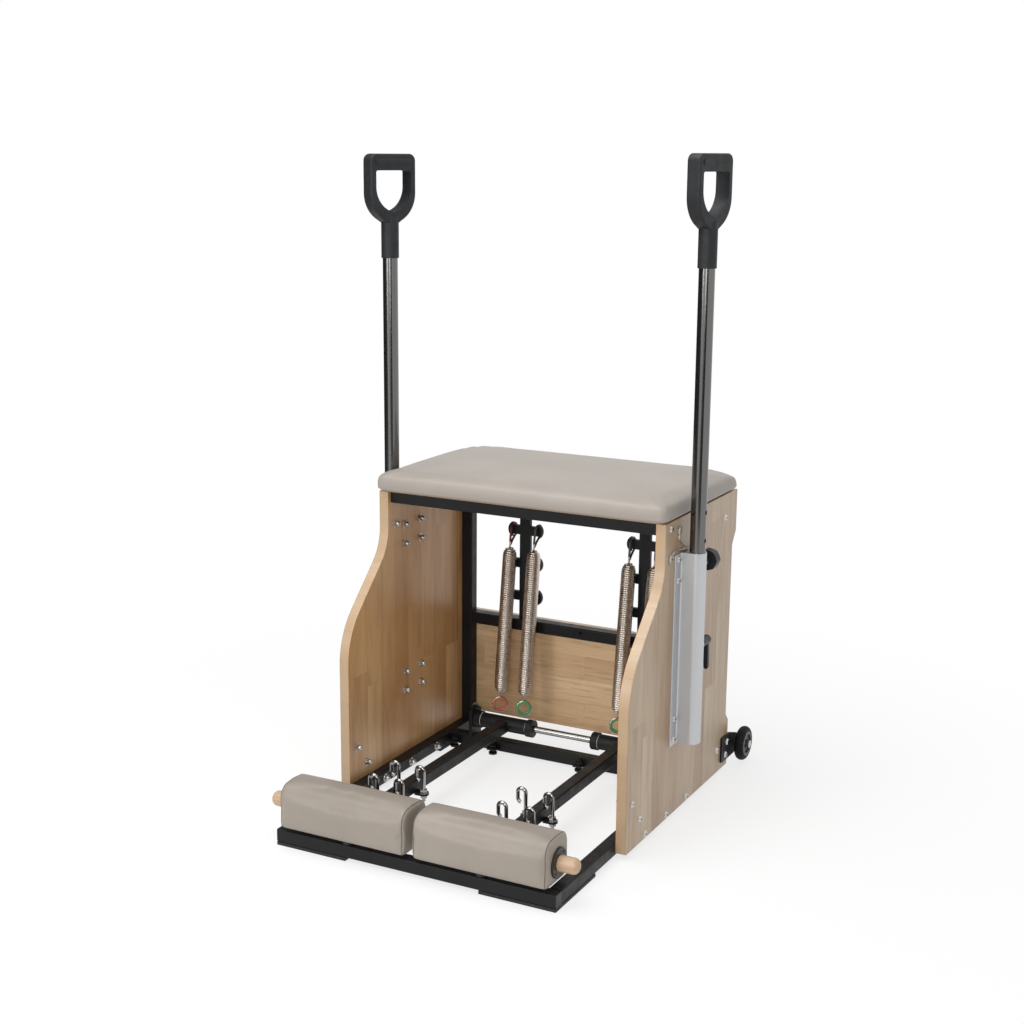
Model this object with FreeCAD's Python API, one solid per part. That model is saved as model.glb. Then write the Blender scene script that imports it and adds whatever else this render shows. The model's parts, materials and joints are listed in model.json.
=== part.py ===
import FreeCAD, Part
import math
import os

os.makedirs("parts", exist_ok=True)

V = FreeCAD.Vector
XDIR = V(1, 0, 0)
YDIR = V(0, 1, 0)
ZDIR = V(0, 0, 1)
ZERO = V(0, 0, 0)

# All lengths are millimetres. Z is up, the pedals face -Y, X = 0 is the middle plane.
# A name that ends in _off is a distance behind the front face of the base front rail.
overrun = 40.0
press_gap = 0.02
run_gap = 0.05
seat_gap = 0.4
same_point = 0.001

# Square steel tube and the frame it makes
tube = 25.0
tube_wall = 2.0
tube_corner = 3.0
plug_len = 10.0
foot_t = 6.0
foot_side_len = 160.0
foot_front_len = 150.0
frame_w = 576.0
frame_top = 597.0
rear_off = 693.0
top_front_off = 406.0
mid_rail_drop = 320.0
mid_hole_r = 3.0
mid_hole_rise = 15.0

# Pivot of the pedals
pivot_in = 76.5
pivot_z = 66.0
shaft_r = 7.0
shaft_end = 4.0
sleeve_r = 16.0
sleeve_len = 106.0
bush_r = 13.0
bush_len = 22.0
bush_flange_t = 1.5
bush_flange_r = 15.5
collar_r = 18.5
collar_len = 14.0
set_screw_r = 2.5
set_screw_depth = 3.0
bracket_t = 8.0
bracket_w = 40.0
bracket_h = 59.0
bracket_corner = 8.0
bracket_bolt_r = 6.0
bracket_bolt_h = 5.0

# Wooden panels
panel_t = 20.0
panel_bottom = 10.0
panel_front_off = 245.0
panel_top_front_off = 396.0
panel_knee_drop = 111.4
panel_arc_low = 145.0
panel_arc_high = 95.0
panel_past = 77.0
panel_recess = 19.0
panel_ear = 4.0
panel_recess_low = 123.0
panel_recess_drop = 112.0
panel_ramp_low = 16.0
panel_ramp_high = 27.0
panel_corner = 3.0
panel_ramp_r = 12.0
back_t = 12.0
back_bottom = 45.0
back_side_gap = 0.5

# Seat
seat_over = 7.0
seat_front_off = 380.0
seat_past = 79.0
seat_lift = 3.0
seat_h = 40.0
seat_edge = 16.0
seat_front_r = 18.0
seat_rear_r = 80.0
# Shares of height, edge and rear corner radius, from the seat's underside to its crown
seat_shares = ((0.0, 0.3, 0.2), (0.15, 0.05, 0.22), (0.35, 0.0, 0.24), (0.6, 0.02, 0.36), (0.78, 0.18, 0.56),
               (0.88, 0.45, 0.76), (0.94, 1.0, 0.92), (0.98, 2.6, 1.0), (1.0, 5.0, 1.0))
board_t = 12.0
board_inset = 14.0
board_rear_r = 40.0

# Spring trees
tree_in = 150.0
tree_w = 25.0
tree_t = 8.0
tree_drop = 125.0
tree_pitch = 72.5
tree_levels = 3
tree_arm_h = 20.0
tree_arm_len = 19.0
tree_moon_h = 32.0
tree_moon_w = 9.0

# Springs
spring_side = 28.5
spring_r = 15.25
spring_wire_r = 2.0
spring_turns = 24
spring_taper_turns = 1.5
spring_loop_r = 14.0
spring_loop_gap = 0.3
spring_neck = 32.0
spring_top = 40.0
spring_tail = 29.0
spring_lean_angle = 7.0
spring_tip_r = 5.5
spring_least_gap = 0.4
spring_samples = 6
loop_angles = (40.0, 90.0, 180.0, 270.0, 315.0)
ring_above = 28.83
ring_r = 15.0
ring_wire_r = 2.0
ring_inner_r = 10.5
ring_w = 6.0
ring_angle = 30.0
ring_seat = 0.1

# Pedals
arm_z = 64.0
pad_overhang = 11.0
pad_depth = 86.0
pad_bottom = 39.0
pad_h = 84.0
pad_crown = 2.5
pad_crown_r = 150.0
pad_inner = 8.0
pad_side_in = 13.0
pad_front_r = 25.0
pad_rear_r = 20.0
pad_low_r = 8.0
pad_draw = 4.0
pad_draw_r_share = 0.5
pad_end = 9.0
pad_shares = ((0.0, 1.0), (0.25, 0.45), (0.6, 0.12), (1.0, 0.0))
core_inset = 12.0
dowel_r = 14.5
dowel_over = 8.0
dowel_round = 11.0
dowel_y_in = 44.0
dowel_rise = 37.0
flange_r = 27.5
flange_t = 4.0
flange_round = 1.5
flange_screw_r = 2.6
flange_screw_h = 1.4
flange_screw_ring = 21.5
flange_screws = 4
screw_cone_share = 0.55
plate_t = 4.0
plate_w = 84.0
plate_low = 46.0
plate_high = 104.0
plate_corner = 8.0
gusset_len = 62.0
gusset_t = 4.0
tab_offs = (155.0, 232.0)
tab_side = 28.0
tab_r = 10.0
tab_t = 4.0
tab_top = 54.0
hook_wire_r = 3.6
hook_bend = 8.2
hook_top = 108.4
hook_leg = 11.3
hook_curl_angle = 75.0
hook_low = 37.0
hook_nut_r = 7.2
hook_washer_r = 9.5
nut_r = 6.4
nut_h = 5.8
nut_dome_share = 0.8
washer_r = 8.0
washer_t = 1.2
stop_r = 11.0
stop_gap = 0.3

# Handle poles and their sleeves
pole_seat_gap = 5.0
pole_off = 487.0
pole_r = 15.0
pole_wall = 2.5
pole_bottom = 170.0
pole_hole_r = 4.25
pole_hole_pitch = 54.0
pole_hole_first = 601.0
pole_holes = 7
hat_bottom = 155.0
hat_drop = 67.0
hat_flange_t = 3.0
hat_half_w = 48.0
hat_root = 20.5
hat_nose = 17.5
hat_wall = 2.1
hat_nose_r = 16.9
hat_root_r = 3.0
hat_flange_r = 1.0
hat_pocket_half = 13.0
hat_pocket_depth = 8.0
hat_bolt_side = 31.0
hat_bolt_ins = (10.5, 51.5)
boss_r = 9.0
boss_len = 29.0
stem_r = 4.0
stem_tip_gap = 0.4
knob_drop = 27.0
knob_reach = 50.0
knob_len = 20.0
knob_core_r = 19.6
knob_lobe_r = 5.5
knob_lobe_ring = 15.0
knob_lobes = 7
knob_hub_r = 8.0
lever_z = 343.0
lever_reach = 48.0
lever_hub_r = 9.0
lever_hub_len = 18.0
lever_len = 60.0
lever_w = 11.0
lever_tip_w = 8.5
lever_t = 8.0
lever_angle = 6.0
lever_tip_round = 4.0

# D handles
handle_bottom = 1050.0
right_pole_rise = 6.0
handle_h = 202.0
left_handle_angle = 68.0
right_handle_angle = 78.0
handle_w = 108.0
handle_depth = 29.0
handle_round = 4.0
handle_strap = 12.0
handle_grip_r = 16.0
handle_apex = 90.0
handle_apex_angle = 10.0
handle_elbow = 93.0
handle_flare_angle = 31.0
handle_inner_r = 49.0
handle_corner_r = 14.0
handle_elbow_r = 59.0
handle_neck_r = 10.0
handle_root = 60.0
handle_root_half = 9.5
socket_r = 17.5
socket_len = 82.0
socket_depth = 60.0

# Wheels
wheel_past = 117.0
wheel_z = 44.0
wheel_r = 36.0
wheel_w = 20.0
wheel_gap = 6.0
tyre_in_r = 26.0
tyre_round = 9.5
hub_dish_r = 20.0
hub_dish = 4.0
hub_boss_r = 9.0
axle_r = 5.0
axle_head_r = 8.0
axle_head_t = 4.5
wheel_plate_t = 4.0
# Corners and bolts of a wheel's bracket, from its axle
wheel_plate = ((-85.0, -20.0, 4.0), (-85.0, 34.0, 4.0), (-40.0, 34.0, 12.0),
               (14.0, 16.0, 14.0), (14.0, -14.0, 14.0), (-10.0, -20.0, 8.0))
wheel_plate_bolts = ((-55.0, 18.0), (-62.0, -8.0))

# Bolts and screws
bolt_shank_r = 3.0
bolt_head_r = 7.0
bolt_head_h = 3.4
bolt_head_share = 0.68
bolt_key_r = 2.7
bolt_key_depth = 2.0
rail_bolt_offs = (335.0, 436.0, 539.0)
post_bolt_low = 58.0
post_bolt_drop = 47.0
# Bolts through the panel, as (distance behind its front edge, height) low down and (.., drop) high up
low_bolts = ((27.0, 100.0), (63.0, 58.0))
high_bolts = ((25.0, 70.0),)
rail_screws = ((25.0, 13.0), (65.0, 24.0))
screw_len = 15.0
hub_screw_len = 12.0

# Levelling studs in front of the base rear rail
stud_side_gap = 4.0
stud_offs = (0.0, 94.0, 297.0)
stud_r = 4.0
stud_low = 3.0
stud_high = 25.0
stud_tab_w = 20.0
stud_tab_len = 20.0
stud_tab_t = 4.0
stud_tab_z = 13.0
stud_foot_r = 9.0
stud_foot_t = 4.0
stud_nut_r = 7.0
stud_nut_h = 6.0

# Derived places
wheel_off = rear_off + wheel_past
front_y = (pad_overhang - wheel_off - wheel_r) / 2
half_w = frame_w / 2
base_top = foot_t + tube
base_z = foot_t + tube / 2
mid_rail_top = frame_top - mid_rail_drop
panel_knee = frame_top - panel_knee_drop
panel_recess_high = frame_top - panel_recess_drop
panel_rear_off = rear_off + panel_past
seat_rear_off = rear_off + seat_past
seat_z = frame_top + seat_lift
hat_top = frame_top - hat_drop
knob_z = hat_top - knob_drop
panel_x = half_w + panel_t
seat_x = panel_x + seat_over
pole_x = seat_x + pole_seat_gap + pole_r
tree_x = half_w - tree_in
arm_x = tree_x
pad_outer = half_w - pad_side_in
dowel_out = panel_x + dowel_over
bracket_top = base_top + bracket_h
stud_x = half_w - tube - stud_side_gap - stud_tab_w / 2
rear_y = front_y + rear_off
pivot_y = rear_y - pivot_in
pole_y = front_y + pole_off
wheel_y = front_y + wheel_off
pad_y = front_y - pad_overhang
pad_rear = pad_y + pad_depth
dowel_y = pad_y + dowel_y_in
dowel_z = pad_bottom + dowel_rise
tree_y = rear_y + tube / 2
loop_clear = spring_loop_r - spring_wire_r - spring_loop_gap
tree_first = frame_top - tree_drop
loop_z = tree_first + tree_arm_h / 2 - math.sqrt(loop_clear ** 2 - (tree_t / 2) ** 2)
lean = math.radians(spring_lean_angle)
ring_drop = (loop_z - pivot_z - ring_above) / math.cos(lean)
spring_bottom = ring_drop - spring_tail
spring_pitch = (spring_bottom - spring_top) / spring_turns
spring_full = spring_top + spring_taper_turns * spring_pitch
hook_face = tree_t / 2 + seat_gap
# The coil stands this far in front of its loop, so that it just clears the hooks below.
coil_shift = spring_r + (hook_face - spring_full * math.sin(lean)) / math.cos(lean)


def outline(corners):
    """Closed wire in the XY plane through (x, y, radius) corners."""
    count = len(corners)
    ends = []
    for i in range(count):
        x, y, r = corners[i]
        p = V(x, y, 0)
        after = corners[(i + 1) % count]
        back = V(corners[i - 1][0], corners[i - 1][1], 0) - p
        ahead = V(after[0], after[1], 0) - p
        back.normalize()
        ahead.normalize()
        if r == 0:
            ends.append((p, None, p))
            continue
        half = back.getAngle(ahead) / 2
        reach = r / math.tan(half)
        middle = back + ahead
        middle.normalize()
        centre = p + middle * (r / math.sin(half))
        ends.append((p + back * reach, centre - middle * r, p + ahead * reach))
    edges = []
    for i in range(count):
        start, mid, stop = ends[i]
        if mid is not None:
            edges.append(Part.Arc(start, mid, stop).toShape())
        following = ends[(i + 1) % count][0]
        if stop.distanceToPoint(following) > same_point:
            edges.append(Part.makeLine(stop, following))
    return Part.Wire(edges)


def put(shape, origin, xd, yd):
    """Turns a shape drawn in XY so that its x and y run along xd and yd."""
    shape.Placement = FreeCAD.Placement(origin, FreeCAD.Rotation(xd, yd, xd.cross(yd), "XYZ"))
    return shape


def slab(wire, depth):
    return Part.Face(wire).extrude(V(0, 0, depth))


def rectangle(w, h, r):
    a = w / 2
    b = h / 2
    return outline(((a, b, r), (-a, b, r), (-a, -b, r), (a, -b, r)))


def box(lo, hi):
    return Part.makeBox(hi.x - lo.x, hi.y - lo.y, hi.z - lo.z, lo)


def rod(r, start, stop):
    way = stop - start
    return Part.makeCylinder(r, way.Length, start, way)


def mirrored(shape):
    return shape.mirror(ZERO, XDIR)


def join(shapes):
    return shapes[0].fuse(shapes[1:]).removeSplitter()


def group(shapes):
    return Part.Compound(shapes)


def save(name, shape):
    shape.exportStep("parts/" + name + ".step")


def tube_run(start, way, length):
    """Open square tube whose centre line begins at start."""
    outer = rectangle(tube, tube, tube_corner)
    hollow = tube - 2 * tube_wall
    inner = rectangle(hollow, hollow, tube_corner - tube_wall)
    shape = slab(outer, length).cut(slab(inner, length))
    side = YDIR if abs(way.x) > same_point else XDIR
    return put(shape, start, side, way.cross(side))


def plug(end, way):
    hollow = tube - 2 * tube_wall
    shape = slab(rectangle(hollow, hollow, tube_corner - tube_wall), plug_len)
    side = YDIR if abs(way.x) > same_point else XDIR
    return put(shape, end, side, way.cross(side))


def button(face, way, shank, r):
    """Socket bolt with its head seated at face, its shank running back along -way."""
    head = Part.makeCone(r, r * bolt_head_share, bolt_head_h, face, way)
    crown = face + way * bolt_head_h
    head = head.cut(hexagon(bolt_key_r, bolt_key_depth, crown - way * bolt_key_depth, way))
    if shank == 0:
        return head
    return join([head, rod(bolt_shank_r, face, face - way * shank)])


def through_bolt(face, far):
    """Socket bolt from face to far, closed there by a washer and a domed nut."""
    way = face - far
    way.normalize()
    head = button(face, way, 0, bolt_head_r)
    seat = far - way * washer_t
    nut = hexagon(nut_r, nut_h, seat, way * -1)
    dome = Part.makeSphere(nut_r * nut_dome_share, seat - way * nut_h)
    return join([head, rod(bolt_shank_r, far, face), rod(washer_r, seat, far), nut, dome])


def hexagon(r, height, foot, way):
    corners = []
    for i in range(6):
        turn = math.pi * i / 3
        corners.append((r * math.cos(turn), r * math.sin(turn), 0))
    side = XDIR if abs(way.x) < same_point else YDIR
    return put(slab(outline(corners), height), foot, side, way.cross(side))


def arcs_between(p, s, q, t):
    """Two arcs that leave p along s and reach q along t."""
    gap = q - p
    both = s + t
    turn = 2 * (1 - s.dot(t))
    along = gap.dot(both)
    if turn < same_point:
        return [Part.makeLine(p, q)]
    d = (math.sqrt(along ** 2 + turn * gap.dot(gap)) - along) / turn
    meet = (p + q + (s - t) * d) / 2
    edges = []
    for a, corner, b in ((p, p + s * d, meet), (meet, q - t * d, q)):
        middle = (a + b) / 2
        lean = (b - a).Length / (2 * d)
        edges.append(Part.Arc(a, middle + (corner - middle) * (lean / (1 + lean)), b).toShape())
    return edges


def wire_tube(edges, r, start, way):
    sweep = Part.BRepOffsetAPI.MakePipeShell(Part.Wire(edges))
    sweep.add(Part.Wire(Part.Circle(start, way, r).toShape()))
    sweep.build()
    sweep.makeSolid()
    return sweep.shape()


def spring_nodes():
    """Points and directions of the spring wire, in the spring's own frame with its loop at 0."""
    nodes = []
    for degrees in loop_angles:
        a = math.radians(degrees)
        spot = V(0, -spring_loop_r * math.sin(a), -spring_loop_r * math.cos(a))
        nodes.append((spot, V(0, -math.cos(a), math.sin(a))))
    nodes.append((V(0, -coil_shift, -spring_neck), ZDIR * -1))
    coil_r = spring_r - spring_wire_r
    drop = spring_pitch / (2 * math.pi)
    halves = 2 * spring_turns
    taper = 2 * spring_taper_turns
    for i in range(halves + 1):
        a = math.pi * i
        near = min(i, halves - i, taper) / taper
        r = spring_tip_r + (coil_r - spring_tip_r) * near
        grow = (coil_r - spring_tip_r) / (taper * math.pi)
        if near == 1:
            grow = 0
        elif i > spring_turns:
            grow = -grow
        spot = V(r * math.cos(a), r * math.sin(a) - coil_shift, -spring_top - drop * a)
        way = V(grow * math.cos(a) - r * math.sin(a), grow * math.sin(a) + r * math.cos(a), -drop)
        way.normalize()
        nodes.append((spot, way))
    nodes.append((V(0, -coil_shift, spring_neck - spring_top - spring_bottom), ZDIR * -1))
    return nodes


def least_gap(edges):
    """Least clear space between turns of the wire, measured on points."""
    points = []
    run = 0
    for edge in edges:
        for i in range(spring_samples):
            share = i / spring_samples
            first, last = edge.ParameterRange
            points.append((edge.valueAt(first + (last - first) * share), run + edge.Length * share))
        run = run + edge.Length
    best = run
    apart = math.pi * spring_tip_r
    for i in range(len(points)):
        for j in range(i + 1, len(points)):
            if points[j][1] - points[i][1] > apart:
                best = min(best, points[i][0].distanceToPoint(points[j][0]))
    return best - 2 * spring_wire_r


def spring_shape():
    nodes = spring_nodes()
    lead = 2 * spring_wire_r
    start = nodes[0][0] - nodes[0][1] * lead
    edges = [Part.makeLine(start, nodes[0][0])]
    for i in range(len(nodes) - 1):
        edges.extend(arcs_between(nodes[i][0], nodes[i][1], nodes[i + 1][0], nodes[i + 1][1]))
    end = V(0, -coil_shift, -ring_drop + ring_r + ring_wire_r + ring_seat)
    edges.append(Part.makeLine(nodes[-1][0], end))
    gap = least_gap(edges)
    print("spring least gap to itself", round(gap, 3))
    if gap < spring_least_gap:
        raise ValueError("the spring touches itself")
    return wire_tube(edges, spring_wire_r, start, nodes[0][1])


def ring_shape():
    """Wire ring and the coloured bush inside it, in the spring's own frame."""
    centre = V(0, -coil_shift, -ring_drop)
    turn = math.radians(ring_angle)
    way = V(math.sin(turn), -math.cos(turn), 0)
    loop = Part.makeTorus(ring_r, ring_wire_r, centre, way)
    edge = ring_r - ring_wire_r - ring_seat
    start = centre - way * (ring_w / 2)
    bush = Part.makeCylinder(edge, ring_w, start, way)
    bush = bush.cut(Part.makeCylinder(ring_inner_r, ring_w, start, way))
    return group([loop, bush])


def build_springs():
    spring = spring_shape()
    ring = ring_shape()
    places = (("left_outer", -tree_x - spring_side), ("left_inner", -tree_x + spring_side),
              ("right_inner", tree_x - spring_side), ("right_outer", tree_x + spring_side))
    for name, x in places:
        spot = FreeCAD.Placement(V(x, tree_y, loop_z), FreeCAD.Rotation(XDIR, -spring_lean_angle))
        for kind, shape in (("spring_", spring), ("spring_ring_", ring)):
            placed = shape.copy()
            placed.Placement = spot
            save(kind + name, placed)


def bolt_set():
    """Bolts of the right side: through the rails, posts and panel, and short screws."""
    bolts = []
    inner = half_w - tube
    through = [(front_y + off, base_z) for off in rail_bolt_offs]
    through += [(tree_y, post_bolt_low), (tree_y, frame_top - post_bolt_drop)]
    for y, z in through:
        bolts.append(through_bolt(V(panel_x, y, z), V(inner, y, z)))
    low_y = front_y + panel_front_off
    high_y = front_y + panel_top_front_off
    joints = [(low_y + off, z) for off, z in low_bolts]
    joints += [(high_y + off, frame_top - drop) for off, drop in high_bolts]
    for y, z in joints:
        bolts.append(through_bolt(V(panel_x, y, z), V(half_w, y, z)))
    for off, drop in rail_screws:
        bolts.append(button(V(panel_x, high_y + off, frame_top - drop), XDIR, screw_len, bolt_head_r))
    face = panel_x + wheel_plate_t
    for off, rise in wheel_plate_bolts:
        bolts.append(button(V(face, wheel_y + off, wheel_z + rise), XDIR, hub_screw_len, bolt_head_r))
    return bolts


def sleeve_bolt_set():
    bolts = []
    for side in (-1, 1):
        y = pole_y + side * hat_bolt_side
        for inset in hat_bolt_ins:
            for z in (hat_top - inset, hat_bottom + inset):
                bolts.append(through_bolt(V(panel_x + hat_flange_t, y, z), V(half_w, y, z)))
    return bolts


def build_frame(bolts):
    """Tubes of the frame, their plugs and the pads they stand on."""
    mid = half_w - tube / 2
    top_z = frame_top - tube / 2
    inside = frame_w - 2 * tube
    rear_end = rear_y + tube
    front = tube_run(V(-half_w, front_y + tube / 2, base_z), XDIR, frame_w)
    save("base_front_rail", front)
    side_len = rear_end - front_y - tube
    side = tube_run(V(mid, front_y + tube, base_z), YDIR, side_len).cut(group(bolts))
    save("base_side_rails", group([side, mirrored(side)]))
    save("base_rear_rail", tube_run(V(-inside / 2, pivot_y, base_z), XDIR, inside))
    post = tube_run(V(mid, rear_y + tube / 2, base_top), ZDIR, frame_top - base_top)
    post = post.cut(group(bolts))
    save("rear_posts", group([post, mirrored(post)]))
    top_y = front_y + top_front_off
    top_front = tube_run(V(-half_w, top_y + tube / 2, top_z), XDIR, frame_w)
    top_side = tube_run(V(mid, top_y + tube, top_z), YDIR, rear_y - top_y - tube)
    top_rear = tube_run(V(-inside / 2, rear_y + tube / 2, top_z), XDIR, inside)
    save("top_rails", group([top_front, top_side, mirrored(top_side), top_rear]))
    cross = tube_run(V(-inside / 2, rear_y + tube / 2, mid_rail_top - tube / 2), XDIR, inside)
    hole = V(0, rear_y, mid_rail_top - tube + mid_hole_rise)
    cross = cross.cut(rod(mid_hole_r, hole - YDIR * overrun, hole + YDIR * (tube / 2)))
    save("mid_rear_rail", cross)
    plugs = [plug(V(half_w - plug_len, front_y + tube / 2, base_z), XDIR)]
    plugs.append(plug(V(mid, rear_end - plug_len, base_z), YDIR))
    save("rail_plugs", group(plugs + [mirrored(p) for p in plugs]))
    arm = half_w - foot_front_len
    inner = half_w - tube
    heel = front_y + foot_side_len
    corners = ((half_w, front_y, 0), (half_w, heel, 0), (inner, heel, 0),
               (inner, front_y + tube, 0), (arm, front_y + tube, 0), (arm, front_y, 0))
    feet = [slab(outline(corners), foot_t)]
    feet.append(box(V(inner, rear_end - foot_side_len, 0), V(half_w, rear_end, foot_t)))
    save("foot_pads", group(feet + [mirrored(f) for f in feet]))


def build_panels(bolts):
    low_knee = panel_knee - (panel_top_front_off - panel_front_off)
    recess = panel_rear_off - panel_recess
    ear = panel_rear_off - panel_ear
    r = panel_corner
    corners = ((panel_front_off, panel_bottom, r), (panel_front_off, low_knee, panel_arc_low),
               (panel_top_front_off, panel_knee, panel_arc_high), (panel_top_front_off, frame_top, r),
               (panel_rear_off, frame_top, r), (panel_rear_off, panel_recess_high + panel_ramp_high, r),
               (recess, panel_recess_high, panel_ramp_r), (recess, panel_recess_low, panel_ramp_r),
               (ear, panel_recess_low - panel_ramp_low, r), (ear, panel_bottom, r))
    panel = put(slab(outline(corners), panel_t), V(half_w, front_y, 0), YDIR, ZDIR)
    panel = panel.cut(group(bolts))
    save("side_panel_right", panel)
    save("side_panel_left", mirrored(panel))
    side = half_w - back_side_gap
    back = rear_y + tube
    save("back_panel", box(V(-side, back, back_bottom), V(side, back + back_t, mid_rail_top)))


def seat_wire(inset, height, rear_r):
    a = seat_x - inset
    front = front_y + seat_front_off + inset
    back = front_y + seat_rear_off - inset
    wire = outline(((a, front, seat_front_r), (a, back, rear_r),
                    (-a, back, rear_r), (-a, front, seat_front_r)))
    wire.translate(V(0, 0, height))
    return wire


def build_seat():
    a = seat_x - board_inset
    front = front_y + seat_front_off + board_inset
    back = front_y + seat_rear_off - board_inset
    board = slab(outline(((a, front, seat_front_r), (a, back, board_rear_r),
                          (-a, back, board_rear_r), (-a, front, seat_front_r))), board_t)
    board.translate(V(0, 0, frame_top))
    save("seat_board", board)
    sections = []
    for height_share, inset_share, round_share in seat_shares:
        height = seat_z + seat_h * height_share
        sections.append(seat_wire(seat_edge * inset_share, height, seat_rear_r * round_share))
    save("seat_cushion", Part.makeLoft(sections, True, True).cut(board))


def build_trees():
    half = tree_w / 2
    top = frame_top - tube
    pieces = [box(V(-half, 0, mid_rail_top), V(half, tree_t, top))]
    for level in range(tree_levels):
        z = tree_first - tree_pitch * level
        reach = half + tree_arm_len
        pieces.append(box(V(-reach, 0, z - tree_arm_h / 2), V(reach, tree_t, z + tree_arm_h / 2)))
        for side in (-1, 1):
            edge = side * reach
            low = V(edge, 0, z - tree_moon_h / 2)
            high = V(edge, 0, z + tree_moon_h / 2)
            bulge = V(edge + side * tree_moon_w, 0, z)
            wire = Part.Wire([Part.Arc(low, bulge, high).toShape(), Part.makeLine(high, low)])
            pieces.append(Part.Face(wire).extrude(V(0, tree_t, 0)))
    tree = join(pieces)
    tree.translate(V(tree_x, tree_y - tree_t / 2, 0))
    save("spring_tree_right", tree)
    save("spring_tree_left", mirrored(tree))


def build_pivot():
    """Shaft, its brackets on the base rear rail, and the collars beside the pedal sleeves."""
    reach = sleeve_len / 2 + bush_flange_t + seat_gap
    outer = arm_x + reach + collar_len + seat_gap
    end = outer + bracket_t + shaft_end
    shaft = rod(shaft_r, V(-end, pivot_y, pivot_z), V(end, pivot_y, pivot_z))
    save("pivot_shaft", shaft)
    half = bracket_w / 2
    corners = ((-half, base_top, 0), (half, base_top, 0), (half, bracket_top, bracket_corner),
               (-half, bracket_top, bracket_corner))
    plate = put(slab(outline(corners), bracket_t), V(outer, pivot_y, 0), YDIR, ZDIR)
    plate = plate.cut(rod(shaft_r + press_gap, V(0, pivot_y, pivot_z), V(end, pivot_y, pivot_z)))
    head = hexagon(bracket_bolt_r, bracket_bolt_h, V(outer + bracket_t / 2, pivot_y, bracket_top), ZDIR)
    bracket = join([plate, head])
    save("shaft_brackets", group([bracket, mirrored(bracket)]))
    collars = []
    for x in (arm_x - reach - collar_len, arm_x + reach):
        start = V(x, pivot_y, pivot_z)
        stop = start + XDIR * collar_len
        collar = rod(collar_r, start, stop).cut(rod(shaft_r + press_gap, start, stop))
        crest = V(x + collar_len / 2, pivot_y, pivot_z + collar_r)
        collar = collar.cut(rod(set_screw_r, crest - ZDIR * set_screw_depth, crest + ZDIR * overrun))
        collars.append(collar)
    save("shaft_collars", group(collars + [mirrored(c) for c in collars]))


def pad_wire(inset, x):
    front = pad_y + inset
    back = pad_rear - inset
    low = pad_bottom + inset
    shoulder = pad_bottom + pad_h - inset
    cut_r = inset * pad_draw_r_share
    corners = ((front, low, pad_low_r - cut_r), (back, low, pad_low_r - cut_r),
               (back, shoulder, pad_rear_r - cut_r),
               ((front + back) / 2, shoulder + pad_crown, pad_crown_r),
               (front, shoulder, pad_front_r - cut_r))
    return put(outline(corners), V(x, 0, 0), YDIR, ZDIR)


def pedal_arm():
    """Welded arm: pivot sleeve, square tube, pad plate, gusset and hook tabs."""
    half = sleeve_len / 2
    start = V(arm_x - half, pivot_y, pivot_z)
    stop = V(arm_x + half, pivot_y, pivot_z)
    barrel = rod(sleeve_r, start, stop)
    plate_y = pad_rear + plate_t
    beam = tube_run(V(arm_x, plate_y, arm_z), YDIR, pivot_y - plate_y)
    beam = beam.cut(barrel)
    plate = slab(rectangle(plate_w, plate_high - plate_low, plate_corner), plate_t)
    plate = put(plate, V(arm_x, plate_y, (plate_low + plate_high) / 2), XDIR, ZDIR)
    top = arm_z + tube / 2
    wing = plate_w / 2
    corners = ((-wing, 0, 0), (wing, 0, 0), (tube / 2, gusset_len, 0), (-tube / 2, gusset_len, 0))
    gusset = slab(outline(corners), gusset_t)
    gusset.translate(V(arm_x, plate_y, top))
    pieces = [beam, barrel, plate, gusset]
    for off in tab_offs:
        for side in (-1, 1):
            y = front_y + off
            edge = arm_x + side * tube / 2
            hole = arm_x + side * tab_side
            lo = V(min(edge, hole), y - tab_r, tab_top - tab_t)
            hi = V(max(edge, hole), y + tab_r, tab_top)
            tab = box(lo, hi).fuse(rod(tab_r, V(hole, y, lo.z), V(hole, y, hi.z)))
            shank = rod(hook_wire_r + press_gap, V(hole, y, 0), V(hole, y, hook_top))
            pieces.append(tab.cut(shank))
    bore = rod(bush_r + press_gap, start, stop)
    return join(pieces).cut(bore)


def bushes():
    shapes = []
    for side in (-1, 1):
        end = V(arm_x + side * sleeve_len / 2, pivot_y, pivot_z)
        way = XDIR * side
        body = rod(bush_r, end - way * bush_len, end)
        rim = rod(bush_flange_r, end, end + way * bush_flange_t)
        hole = rod(shaft_r + run_gap, end - way * bush_len, end + way * bush_flange_t)
        shapes.append(join([body, rim]).cut(hole))
    return group(shapes)


def hook(x, y):
    """Wire hook standing in its tab, clamped by a nut on each side."""
    bend_z = hook_top - hook_wire_r - hook_bend
    low = V(x, y, hook_low)
    high = V(x, y, bend_z)
    far = V(x - 2 * hook_bend, y, bend_z)
    crest = V(x - hook_bend, y, bend_z + hook_bend)
    foot = far - ZDIR * hook_leg
    curl = []
    for degrees in (hook_curl_angle / 2, hook_curl_angle):
        a = math.radians(degrees)
        curl.append(foot + V(hook_bend * (1 - math.cos(a)), 0, -hook_bend * math.sin(a)))
    edges = [Part.makeLine(low, high), Part.Arc(high, crest, far).toShape(), Part.makeLine(far, foot),
             Part.Arc(foot, curl[0], curl[1]).toShape()]
    shape = wire_tube(edges, hook_wire_r, low, ZDIR)
    washer = rod(hook_washer_r, V(x, y, tab_top), V(x, y, tab_top + washer_t))
    upper = hexagon(hook_nut_r, nut_h, V(x, y, tab_top + washer_t), ZDIR)
    lower = hexagon(hook_nut_r, nut_h, V(x, y, tab_top - tab_t - nut_h), ZDIR)
    return join([shape, washer, upper, lower])


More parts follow.
